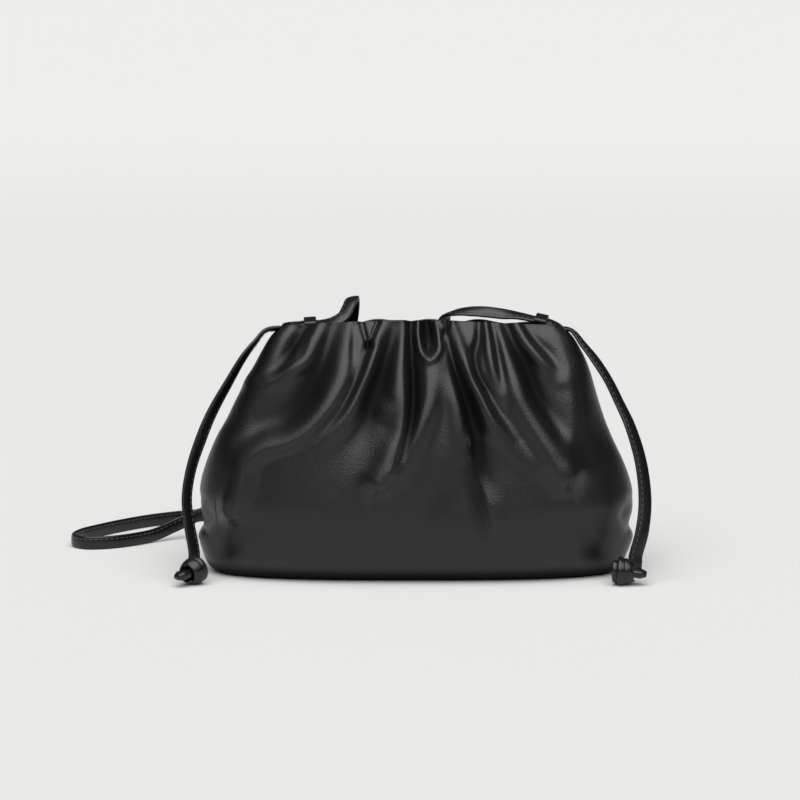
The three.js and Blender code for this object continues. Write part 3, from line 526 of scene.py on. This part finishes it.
class Wire:
    """The output of a node, which can be used in a formula."""

    def __init__(self, finish, socket):
        self.finish = finish
        self.socket = socket

    def _maths(self, operation, first, second):
        return self.finish.node("ShaderNodeMath", {"operation": operation}, {0: first, 1: second})

    def __add__(self, other):
        return self._maths("ADD", self, other)

    def __mul__(self, other):
        return self._maths("MULTIPLY", self, other)


class Finish:
    """A material being made, with one method for all its nodes."""

    def __init__(self, name):
        self.material = bpy.data.materials.new(name)
        self.material.use_nodes = True
        self.tree = self.material.node_tree
        self.tree.nodes.clear()
        self.shader = self.tree.nodes.new("ShaderNodeBsdfPrincipled")
        surface = self.tree.nodes.new("ShaderNodeOutputMaterial")
        self.tree.links.new(self.shader.outputs[0], surface.inputs["Surface"])

    def node(self, kind, settings=None, sockets=None, output=0):
        return Wire(self, add_node(self.tree, kind, settings, sockets).outputs[output])

    def surface(self, **sockets):
        feed(self.shader, {key.replace("_", " "): value for key, value in sockets.items()})
        return self.material

    def fade(self, factor, **sockets):
        """Mixes a second surface over the first one, by a factor."""
        second = self.node("ShaderNodeBsdfPrincipled")
        feed(second.socket.node, {key.replace("_", " "): value for key, value in sockets.items()})
        both = self.node("ShaderNodeMixShader", None,
                         {0: factor, 1: self.shader.outputs[0], 2: second})
        feed(self.tree.get_output_node("ALL"), {"Surface": both})

    def place(self):
        return self.node("ShaderNodeTexCoord", output="Object")

    def noise(self, scale, detail, roughness=0.5):
        return self.node("ShaderNodeTexNoise", None,
                         {"Vector": self.place(), "Scale": scale, "Detail": detail,
                          "Roughness": roughness}, "Fac")

    def cells(self, scale):
        return self.node("ShaderNodeTexVoronoi", {"feature": "SMOOTH_F1"},
                         {"Vector": self.place(), "Scale": scale}, "Distance")

    def mix(self, factor, first, second):
        return self.node("ShaderNodeMix", {"data_type": "RGBA"},
                         {"Factor": factor, 6: first, 7: second}, 2)

    def bump(self, height, strength, distance):
        return self.node("ShaderNodeBump", None,
                         {"Height": height, "Strength": strength, "Distance": distance})


print("shader helpers:", Wire.__name__, Finish.__name__)

# %% [markdown]
# ## Leather
#
# Nappa is smooth, with a fine grain of soft cells about a millimetre across and tiny pores
# between them. Black leather is not quite black: it is a very dark grey whose shine does the
# drawing. So the colour hardly changes, and the grain shows in the bump and the roughness. A
# picture of leather would repeat and need unwrapping, so noise and cells in the object's own
# space are used instead. They look the same on every piece of the bag. Deep in a crease and under
# the body, shade is painted in: a darker, rougher surface with little shine is mixed in there.
# The panels carry an attribute, named crease, that says where that painted shade goes.


# %% Leather finishes
CLOUDS_PER_M = 28.0
LEATHER_SHINE = 0.5
PAINTED_SHADE_SHINE = 0.12


def leather(name, shade, roughness, grain, coarse):
    """Leather of one shade: grain is how deep its cells are in metres, coarse their number per m."""
    finish = Finish(name)
    wander = finish.noise(coarse * 0.6, 2.0)
    cells = finish.cells(coarse)
    pores = finish.noise(coarse * 3.2, 3.0, 0.6)
    cloud = finish.noise(CLOUDS_PER_M, 3.0)
    crease = finish.node("ShaderNodeAttribute", {"attribute_name": "crease"}, output="Fac")
    height = cells * 0.75 + pores * 0.3 + wander * 0.4
    grained = finish.bump(height, 1.0, grain)
    dark = tuple(shade * k for k in (0.8, 0.8, 0.82)) + (1,)
    light = tuple(shade * k for k in (1.25, 1.24, 1.24)) + (1,)
    # Painted shade: where the crease attribute says, a darker, rougher, nearly shineless leather is
    # mixed in, standing for the shade that falls in creases and under the body.
    finish.fade(crease, Base_Color=dark, Roughness=0.7, Normal=grained,
                Specular_IOR_Level=PAINTED_SHADE_SHINE)
    return finish.surface(
        Base_Color=finish.mix(cloud, dark, light),
        Roughness=pores * 0.10 + cloud * 0.06 + (roughness - 0.08),
        Normal=grained,
        Specular_IOR_Level=LEATHER_SHINE,
    )


body_leather = leather("body_leather", 0.003, 0.36, 0.00015, 950)
strap_leather = leather("strap_leather", 0.003, 0.28, 0.00006, 1100)
lining_suede = leather("lining_suede", 0.004, 0.75, 0.00025, 1500)
print("finishes:", body_leather.name, strap_leather.name, lining_suede.name)


# %% [markdown]
# ## The two panels
#
# A panel is one skin that starts at the base, climbs the outside, rolls over the rim and goes
# back down the inside, like the turned edge of real leather. It is a grid: rows climb, columns
# run from the left side seam to the right one. Its edges are closed at the seams and the base,
# so the piece is solid. Close to a side seam the skin dips a little, where the stitches pull.


# %% Skin of a panel
ROLL_STEPS = 5
LINING_STRIDE = 4
# Painted shade: from none to full between these crease depths, and from full to none between these
# heights at the body's lower edge.
CREASE_SHOWS = 0.0012
DEEP_CREASE = 0.005
BASE_SHADE = (0.003, 0.012)
RIM_ZONE = 0.85
ROW_CROWDING = 1.15
FRONT_COLUMNS, FRONT_CLIMB = 500, 148
BACK_COLUMNS, BACK_CLIMB = 300, 112


def panel_rows(climb):
    """Share of the height, inset from the outside and lift above the rim, row by row."""
    shares = np.linspace(0, 1, climb + 1) ** ROW_CROWDING
    rows = [(share, 0.0, 0.0) for share in shares]
    for step in range(1, ROLL_STEPS + 1):
        turn = math.pi * step / (ROLL_STEPS + 1)
        half = LEATHER_WALL / 2
        rows.append((1.0, half * (1 - math.cos(turn)), half * math.sin(turn)))
    rows += [(share, LEATHER_WALL, 0.0) for share in shares[::-LINING_STRIDE]]
    return rows


def panel_points(side, folds, columns, rows):
    """Points of the skin, and how much painted shade each gets in a crease or under the body."""
    arch = FRONT_RIM_ARCH if side < 0 else BACK_RIM_ARCH
    edges, skins = [], []
    for share, inset, lift in rows:
        outside = section_at(share, 0)
        angles = even_angles(outside, columns)
        edge, normal = outline(outside, angles)
        skin, _ = outline(section_at(share, inset), angles)
        across = edge[:, 0] / np.where(edge[:, 0] < 0, outside[0], outside[1])
        z = share * (RIM_HEIGHT + arch * (1 - across**2)) + lift
        edges.append(np.column_stack([edge, normal, np.full(len(edge), share)]))
        skins.append(np.column_stack([skin, z]))
    edges, skins = np.array(edges), np.array(skins)
    push = relief([*folds, *SIDE_DENTS], edges[..., 0], edges[..., 4] * RIM_HEIGHT)
    creases = [fold for fold in folds if fold[START_HEIGHT] < 0]
    hollow = -relief(creases, edges[..., 0], edges[..., 4] * RIM_HEIGHT)
    from_seam = np.minimum(np.arange(columns + 1), columns - np.arange(columns + 1)) * SEAM_STEP
    push = push - SEAM_DIP * np.exp(-((from_seam / SEAM_REACH) ** 2))[None, :]
    x = skins[..., 0] + push * edges[..., 2]
    y = side * (SEAM_GAP / 2 + np.maximum(0, skins[..., 1] + push * edges[..., 3]))
    near_rim = ease(np.clip((edges[..., 4] - RIM_ZONE) / (1 - RIM_ZONE), 0, 1))
    z = skins[..., 2] + RIM_FOLLOW * push * near_rim
    # Painted shade mask: deep in the creases and close to the floor under the body.
    depth = np.clip((hollow - CREASE_SHOWS) / (DEEP_CREASE - CREASE_SHOWS), 0, 1)
    under = np.clip((BASE_SHADE[1] - z) / (BASE_SHADE[1] - BASE_SHADE[0]), 0, 1)
    return np.stack([x, y, z], -1).reshape(-1, 3), np.maximum(ease(depth), ease(under)).reshape(-1)


print("rows of the front panel:", len(panel_rows(FRONT_CLIMB)))

# %% [markdown]
# The skin becomes an object with two materials. Its attribute named crease is the mask that the
# finish reads to paint shade into creases and under the body.


# %% Panels
def side_edges(climb, last, columns):
    """Faces that close the two side edges, between the outside and the coarser lining."""
    faces = []
    for column, turned in ((0, False), (columns, True)):
        loops = []
        for k in range(climb // LINING_STRIDE):
            outer = range(LINING_STRIDE * k, LINING_STRIDE * (k + 1) + 1)
            loops.append([*outer, last - k - 1, last - k])
        loops.append(list(range(climb, climb + ROLL_STEPS + 2)))
        for loop in loops:
            face = [row * (columns + 1) + column for row in loop]
            faces.append(face[::-1] if turned else face)
    return faces


def panel(name, side, folds, columns, climb):
    rows = panel_rows(climb)
    points, painted_shade_mask = panel_points(side, folds, columns, rows)
    last = len(rows) - 1
    faces = [list(face) for face in grid_faces(len(rows), columns + 1, flip=side > 0)]
    inner = last * (columns + 1)
    closing = [[c + 1, c, inner + c, inner + c + 1] for c in range(columns)]
    closing += side_edges(climb, last, columns)
    if side > 0:
        closing = [face[::-1] for face in closing]
    lined = np.repeat(np.arange(last) > climb + ROLL_STEPS + 2, columns).astype(int).tolist()
    piece = make_piece(name, points, faces + closing, [body_leather, lining_suede],
                       lined + [0] * len(closing))
    # The crease attribute holds the painted-shade mask, for creases and under the body.
    crease = piece.data.attributes.new("crease", "FLOAT", "POINT")
    crease.data.foreach_set("value", painted_shade_mask)
    return piece


front_leather = panel("front_leather", -1, FRONT_FOLDS + FINE_FOLDS, FRONT_COLUMNS, FRONT_CLIMB)
back_leather = panel("back_leather", 1, BACK_FOLDS, BACK_COLUMNS, BACK_CLIMB)
for piece in (front_leather, back_leather):
    print(piece.name, len(piece.data.polygons), "faces")

# %% [markdown]
# ## The base
#
# The bottom is a flat piece of the same leather, a little smaller than the panels' lower edges
# so that the seam shows as a fine line. It is a plate with a softly rounded edge, built as rings
# that shrink from the rim of the plate towards its middle.


# %% Base
BASE_ROUNDING = 0.0005
# shrink towards the middle, share of the rounding, share of the wall's height
BASE_PROFILE = ((0.09, 1.0, 0.0), (0.0, 0.4, 0.0), (0.0, 0.0, 0.35),
                (0.0, 0.0, 0.7), (0.0, 0.4, 1.0), (0.09, 1.0, 1.0))


def base_plate():
    inset = LEATHER_WALL + SEAM_GAP
    rings = []
    angles = even_angles(section_at(0, inset), 120)
    for shrink, edge, level in BASE_PROFILE:
        drawn = section_at(0, inset + BASE_ROUNDING * edge)
        near, _ = outline(drawn, angles)
        near = near * (1 - shrink)
        near[:, 1] *= -1
        far = near[1:-1][::-1] * np.array([1, -1])
        ring = np.vstack([near, far])
        rings.append(np.column_stack([ring, np.full(len(ring), level * LEATHER_WALL)]))
    count = len(rings[0])
    points = np.vstack(rings)
    faces = list(grid_faces(len(rings), count, closed=True))
    faces.append(tuple(range(count))[::-1])
    faces.append(tuple(range((len(rings) - 1) * count, len(rings) * count)))
    return make_piece("base_leather", points, faces, [body_leather])


base_leather = base_plate()
print(base_leather.name, len(base_leather.data.polygons), "faces")

# %% [markdown]
# ## The folded strap
#
# The strap is one strip folded on itself: a soft rolled edge on one side, two raw edges sewn
# together on the other. A tube or a plain bar would miss both, so the section is drawn once,
# with a shallow groove where the stitches pull the layers together, and swept along each route.


# %% Strap section and sweep
STRAP_WIDTH = 0.009
STRAP_THICKNESS = 0.0028
STRAP_STEP = 0.0016
STITCH_SHARE = 0.27


def strap_section(width=STRAP_WIDTH, thickness=STRAP_THICKNESS, points=36):
    """Outline of the folded strap: across its width and out of its flat side."""
    turn = np.linspace(0, 2 * math.pi, points, endpoint=False)
    across = np.sign(np.cos(turn)) * np.abs(np.cos(turn)) ** 0.75 * width / 2
    out = np.sign(np.sin(turn)) * np.abs(np.sin(turn)) ** 0.6 * thickness / 2
    groove = 0.2 * np.exp(-((across / width - STITCH_SHARE) / 0.07) ** 2)
    edge = 0.22 * np.clip((across / width - 0.30) / 0.2, 0, 1)
    return np.column_stack([across, out * (1 - groove - edge)])


def sweep(name, centres, across, flat, section, scale=None, looped=False):
    """The strap's leather in a section carried along a line, with closed ends unless looped."""
    size = np.ones(len(centres)) if scale is None else scale
    rings = (centres[:, None] + across[:, None] * section[None, :, :1] * size[:, None, None]
             + flat[:, None] * section[None, :, 1:] * size[:, None, None])
    count = section.shape[0]
    rows = len(centres)
    faces = list(grid_faces(rows, count, closed=True, looped=looped))
    if not looped:
        faces.append(tuple(range(count))[::-1])
        faces.append(tuple(range((rows - 1) * count, rows * count)))
    return make_piece(name, rings.reshape(-1, 3), faces, [strap_leather])


def tapered_ends(count, steps=3, smallest=0.6):
    scale = np.ones(count)
    curve = np.sqrt(np.linspace(smallest**2, 1, steps, endpoint=False))
    scale[:steps] = curve
    scale[-steps:] = curve[::-1]
    return scale


print("strap section:", len(strap_section()), "points")

# %% [markdown]
# The drawn strap goes on where the bag hides it: behind the keepers into the mouth, and from the
# tails' upper ends in between the panels and down into the knots.


# %% Strap and tails
def strap_piece(name, route):
    centres, _, across, flat = stations(route, STRAP_STEP)
    return sweep(name, centres, across, flat, strap_section(), tapered_ends(len(centres)))


def longer(route, first, last):
    """The route with one more point before its start and one after its end."""
    return [(first, route[0][1]), *route, (last, route[-1][1])]


drawn_shoulder = longer(SHOULDER_ROUTE, (-0.0885, 0.001, 0.156), (0.0965, 0.0008, 0.156))
drawn_left_tail = longer(LEFT_TAIL_ROUTE, (-0.085, 0, 0.1585), (-0.143, -0.0488, 0.0115))
drawn_right_tail = longer(RIGHT_TAIL_ROUTE, (0.09, 0, 0.158), (0.1395, -0.05, 0.0095))
shoulder_leather = strap_piece("shoulder_strap_leather", drawn_shoulder)
left_tail_leather = strap_piece("left_tail_leather", drawn_left_tail)
right_tail_leather = strap_piece("right_tail_leather", drawn_right_tail)
print("strap faces:", len(shoulder_leather.data.polygons), len(left_tail_leather.data.polygons))

# %% [markdown]
# ## Keepers
#
# A keeper is a narrow band of leather sewn into a loop round the strap. Its path is a rounded
# rectangle round the strap's section, and a thin rounded band is swept along it.


# %% Keepers
KEEPER_LENGTH = 0.008
KEEPER_WALL = 0.0015
KEEPER_CORNER = 0.0012
KEEPER_EDGE = 0.0006
FIT_GAP = 0.0003


def rounded_rectangle(width, height, radius, per_corner=8):
    points = []
    for cx, cy, start in ((1, 1, 0), (-1, 1, 90), (-1, -1, 180), (1, -1, 270)):
        for step in range(per_corner + 1):
            turn = math.radians(start + 90 * step / per_corner)
            points.append((cx * (width / 2 - radius) + radius * math.cos(turn),
                           cy * (height / 2 - radius) + radius * math.sin(turn)))
    return np.array(points)


def keeper(name, route):
    centres, _, across, flat = stations(route, 0.015)
    middle = (centres[0] + centres[1]) / 2
    run = unit(centres[1] - centres[0])
    side = unit(across[0] + across[1])
    out = np.cross(run, side)
    path = rounded_rectangle(STRAP_WIDTH + 2 * FIT_GAP + KEEPER_WALL,
                             STRAP_THICKNESS + 2 * FIT_GAP + KEEPER_WALL, KEEPER_CORNER)
    line = middle + path[:, :1] * side + path[:, 1:] * out
    tangent = unit(np.roll(line, -1, axis=0) - np.roll(line, 1, axis=0))
    width = np.repeat(run[None], len(line), axis=0)
    band = rounded_rectangle(KEEPER_LENGTH, KEEPER_WALL, KEEPER_EDGE, 4)
    return sweep(name, line, width, np.cross(tangent, width), band, looped=True)


keeper_left_leather = keeper("keeper_left_leather", SHOULDER_ROUTE)
keeper_right_leather = keeper("keeper_right_leather", SHOULDER_ROUTE[::-1])
print("keepers:", len(keeper_left_leather.data.polygons), "faces each")

# %% [markdown]
# ## Knots
#
# Each end of the strap is tied in an overhand knot, drawn tight. What shows is a barrel of two
# or three turns that overlap like shingles, and the cut end sticking out of the middle. The
# turns are the strap itself, wound on a helix round the knot's axis and leaning a little, and
# the end is a short folded piece along the axis.

# %% Knots
LEFT_KNOT = ((-0.1424, -0.0485, 0.0088), (-0.62, -0.72, -0.12))
RIGHT_KNOT = ((0.1310, -0.0498, 0.0088), (0.97, -0.20, -0.10))
KNOT_TURNS = 2.6
KNOT_TURN_RADIUS = 0.0066
KNOT_PITCH = 0.0036
KNOT_BAND = (0.0068, 0.0026)
KNOT_LEAN = 20
KNOT_CORNERS = 28
CUT_END = (0.0088, 0.0060)
CUT_END_REACH = (-0.006, 0.0145)


def basis(axis):
    axis = unit(np.array(axis, float))
    side = unit(np.cross(axis, (0, 0, 1)))
    return axis, side, np.cross(side, axis)


def join_pieces(name, pieces):
    """One object made of several, with its faces as they are."""
    points, faces, start = [], [], 0
    material = pieces[0].data.materials[0]
    for piece in pieces:
        points += [tuple(v.co) for v in piece.data.vertices]
        faces += [tuple(i + start for i in p.vertices) for p in piece.data.polygons]
        start = len(points)
        bpy.data.objects.remove(piece)
    return make_piece(name, points, faces, [material])


def knot(name, centre, axis):
    centre = np.array(centre)
    axis, side, up = basis(axis)
    turn = np.linspace(0, 2 * math.pi * KNOT_TURNS, 150)
    swell = 1 - 0.12 * np.cos(turn / KNOT_TURNS)
    radial = np.cos(turn)[:, None] * up + np.sin(turn)[:, None] * side
    shift = (turn / (2 * math.pi) - KNOT_TURNS / 2) * KNOT_PITCH
    line = centre + radial * (KNOT_TURN_RADIUS * swell)[:, None] + axis * shift[:, None]
    along = unit(np.gradient(line, axis=0))
    lean = math.radians(KNOT_LEAN)
    flat = unit(radial * math.cos(lean) + axis * math.sin(lean))
    across = unit(np.cross(flat, along))
    flat = np.cross(along, across)
    wraps = sweep("wraps", line, across, flat, strap_section(*KNOT_BAND, KNOT_CORNERS),
                  tapered_ends(len(line), 6, 0.3))
    reach = np.linspace(*CUT_END_REACH, 24)
    spine = centre + axis * reach[:, None]
    ones = np.ones((len(reach), 1))
    end = sweep("end", spine, ones * side, ones * up, strap_section(*CUT_END, KNOT_CORNERS),
                tapered_ends(len(reach), 4, 0.55))
    return join_pieces(name, [wraps, end])


knot_left_leather = knot("knot_left_leather", *LEFT_KNOT)
knot_right_leather = knot("knot_right_leather", *RIGHT_KNOT)
print("knots:", len(knot_left_leather.data.polygons), "faces each")

# %% [markdown]
# ## Stitches
#
# Stitches repeat along a line, which is what Geometry Nodes are for. The tree takes a line,
# divides it into even lengths and puts a small rounded stitch at each point, turned along the
# line. The result is made real and then kept as a plain mesh.


# %% Stitch tree
STITCH_SIZES = (("Pitch", 0.0037), ("Stitch Length", 0.0026), ("Thread Radius", 0.00028))
DARK_THREAD, LIGHT_THREAD = (0.05, 0.05, 0.052, 1), (0.09, 0.09, 0.092, 1)


def stitch_tree(material):
    tree = bpy.data.node_groups.new("stitches_on_a_line", "GeometryNodeTree")
    tree.interface.new_socket("Line", in_out="INPUT", socket_type="NodeSocketGeometry")
    for name, value in STITCH_SIZES:
        socket = tree.interface.new_socket(name, in_out="INPUT", socket_type="NodeSocketFloat")
        socket.default_value = value
    tree.interface.new_socket("Stitches", in_out="OUTPUT", socket_type="NodeSocketGeometry")

    def node(kind, settings=None, sockets=None):
        return add_node(tree, kind, settings, sockets)

    given = node("NodeGroupInput").outputs
    curve = node("GeometryNodeMeshToCurve", None, {"Mesh": given["Line"]})
    spaced = node("GeometryNodeResampleCurve", {"mode": "LENGTH"},
                  {"Curve": curve.outputs[0], "Length": given["Pitch"]})
    tangent = node("GeometryNodeInputTangent")
    turn = node("FunctionNodeAlignRotationToVector", {"axis": "Z"}, {"Vector": tangent.outputs[0]})
    half = node("ShaderNodeMath", {"operation": "MULTIPLY"}, {0: given["Stitch Length"], 1: 0.5})
    ball = node("GeometryNodeMeshUVSphere", None, {"Segments": 8, "Rings": 6, "Radius": 1.0})
    size = node("ShaderNodeCombineXYZ", None, {0: given["Thread Radius"], 1: given["Thread Radius"],
                                                2: half.outputs[0]})
    placed = node("GeometryNodeInstanceOnPoints", None,
                  {"Points": spaced.outputs[0], "Instance": ball.outputs[0],
                   "Rotation": turn.outputs[0], "Scale": size.outputs[0]})
    real = node("GeometryNodeRealizeInstances", None, {"Geometry": placed.outputs[0]})
    smooth = node("GeometryNodeSetShadeSmooth", None, {0: real.outputs[0]})
    dressed = node("GeometryNodeSetMaterial", None,
                   {"Geometry": smooth.outputs[0], "Material": material})
    node("NodeGroupOutput", None, {0: dressed.outputs[0]})
    return tree


def thread_finish():
    finish = Finish("black_thread")
    fibre = finish.noise(2600.0, 2.0)
    return finish.surface(Base_Color=finish.mix(fibre, DARK_THREAD, LIGHT_THREAD),
                          Roughness=fibre * 0.15 + 0.4,
                          Normal=finish.bump(fibre, 1.0, 0.00005))


thread = thread_finish()
stitches_on_a_line = stitch_tree(thread)
print("stitch tree with", len(stitches_on_a_line.nodes), "nodes")


# %% [markdown]
# The strap is sewn near its open edge, and the stitches show on both of its flat sides.


# %% Stitches of the strap
GROOVE_BOTTOM = 0.80


def stitched_line(points):
    mesh = bpy.data.meshes.new("line")
    mesh.from_pydata([tuple(p) for p in points], [(i, i + 1) for i in range(len(points) - 1)], [])
    line = bpy.data.objects.new("line", mesh)
    bpy.context.collection.objects.link(line)
    return line


def plain_mesh_of(name, line, tree):
    modifier = line.modifiers.new("stitches", "NODES")
    modifier.node_group = tree
    evaluated = line.evaluated_get(bpy.context.evaluated_depsgraph_get())
    mesh = bpy.data.meshes.new_from_object(evaluated)
    mesh.name = name
    line.modifiers.clear()
    bpy.data.objects.remove(line)
    mesh.materials.clear()
    mesh.materials.append(thread)
    piece = bpy.data.objects.new(name, mesh)
    bpy.context.collection.objects.link(piece)
    return piece


def strap_stitches(name, route):
    centres, _, across, flat = stations(route, STRAP_STEP)
    centres, across, flat = centres[3:-3], across[3:-3], flat[3:-3]
    surface = STRAP_THICKNESS / 2 * GROOVE_BOTTOM
    sides = []
    for face in (1, -1):
        line = centres + across * (STITCH_SHARE * STRAP_WIDTH) + flat * (face * surface)
        sides.append(plain_mesh_of(name + "_side", stitched_line(line), stitches_on_a_line))
    return join_pieces(name, sides)


shoulder_stitches = strap_stitches("shoulder_strap_stitches", drawn_shoulder)
left_tail_stitches = strap_stitches("left_tail_stitches", drawn_left_tail)
right_tail_stitches = strap_stitches("right_tail_stitches", drawn_right_tail)
print("stitch faces:", len(shoulder_stitches.data.polygons))

# %% [markdown]
# ## The studio
#
# The picture is taken on a seamless pale floor. A flat plane would end in a visible edge, so this
# one is a round sheet that rises gently far away, and is pale behind the bag from every side.


# %% Floor
FLOOR_RADII = (0.02, 0.3, 0.8, 1.5, 2.5, 4.0, 4.7, 5.4, 6.2, 11.0)
FLOOR_RISE = (0.0, 0.015, 0.06, 0.15, 0.82)


def studio_floor():
    """A pale floor, flat round the bag and rising gently far away, so that no edge of it shows."""
    finish = Finish("pale_paper")
    tooth = finish.noise(900.0, 2.0)
    paper = finish.surface(Base_Color=(0.745, 0.745, 0.735, 1), Roughness=0.9,
                           Normal=finish.bump(tooth, 0.05, 0.0002), Specular_IOR_Level=0.1)
    turns = np.linspace(0, 2 * math.pi, 96, endpoint=False)
    x, y = np.outer(FLOOR_RADII, np.cos(turns)), np.outer(FLOOR_RADII, np.sin(turns))
    z = np.interp(np.hypot(x, y), FLOOR_RADII[-len(FLOOR_RISE):], FLOOR_RISE)
    points = np.stack([x, y, z], -1).reshape(-1, 3)
    faces = list(grid_faces(len(FLOOR_RADII), len(turns), closed=True)) + [tuple(range(len(turns)))]
    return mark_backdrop(make_piece("studio_floor", points, faces, [paper]))


studio_floor()
print("floor out to", FLOOR_RADII[-1], "m")

# %% [markdown]
# Black leather shows little but reflections, so the dark part of the room matters as much as the
# light. Two very large suns overhead give soft highlights on the folds and hardly a shadow. A
# room of lamps would do the same with more to set. The world is nearly black at the horizon, so
# the steep sides of each fold stay dark.


# %% Light
ZENITH_FROM = 0.8


def studio_dark(horizon, zenith):
    """A dim room: nearly black at the level of the horizon, a little lighter overhead."""
    world = bpy.data.worlds.new("studio")
    world.use_nodes = True
    bpy.context.scene.world = world
    tree = world.node_tree
    tree.nodes.clear()
    place = add_node(tree, "ShaderNodeTexCoord")
    split = add_node(tree, "ShaderNodeSeparateXYZ", None, {0: place.outputs["Generated"]})
    climb = add_node(tree, "ShaderNodeMapRange", None,
                     {"Value": split.outputs["Z"], "From Max": ZENITH_FROM, "To Min": horizon,
                      "To Max": zenith})
    glow = add_node(tree, "ShaderNodeBackground", None,
                    {"Color": (1, 1, 0.995, 1), "Strength": climb.outputs["Result"]})
    add_node(tree, "ShaderNodeOutputWorld", None, {"Surface": glow.outputs[0]})


def soft_sun(name, direction, strength, angle):
    data = bpy.data.lights.new(name, "SUN")
    data.energy = strength
    data.angle = math.radians(angle)
    light = bpy.data.objects.new(name, data)
    bpy.context.collection.objects.link(light)
    light.rotation_euler = Vector(direction).to_track_quat("-Z", "Y").to_euler()


studio_dark(0.012, 0.12)
soft_sun("overhead", (0.0, 0.55, -1.0), 2.9, 72)
soft_sun("wide overhead", (0.0, 0.5, -1.0), 0.7, 100)
bpy.context.scene.view_settings.view_transform = "Standard"

# %% [markdown]
# ## Riding on the frame
#
# Each finished piece rides on the bag's one body and stands for its CAD solid, which the
# physics keeps. The strap and its tails are cords, and the length of each is printed.

# %% Pieces and cords
PATH_STEP = 0.004
FINISHED = (
    (front_leather, "front_panel", "body_leather"),
    (back_leather, "back_panel", "body_leather"),
    (base_leather, "base_panel", "body_leather"),
    (shoulder_leather, "shoulder_strap", "strap_leather"),
    (left_tail_leather, "strap_tail_left", "strap_leather"),
    (right_tail_leather, "strap_tail_right", "strap_leather"),
    (knot_left_leather, "knot_left", "strap_leather"),
    (knot_right_leather, "knot_right", "strap_leather"),
    (keeper_left_leather, "keeper_left", "strap_leather"),
    (keeper_right_leather, "keeper_right", "strap_leather"),
)
for piece, node_name, slot_name in FINISHED:
    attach(piece, "root")
    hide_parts(node_name)
for piece in (shoulder_stitches, left_tail_stitches, right_tail_stitches):
    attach(piece, "root")


def declare_strap(piece, route):
    centres = stations(route, PATH_STEP)[0]
    print(piece.name, "is declared at", round(length_of(centres), 3), "m")


declare_strap(shoulder_leather, drawn_shoulder)
declare_strap(left_tail_leather, drawn_left_tail)
declare_strap(right_tail_leather, drawn_right_tail)
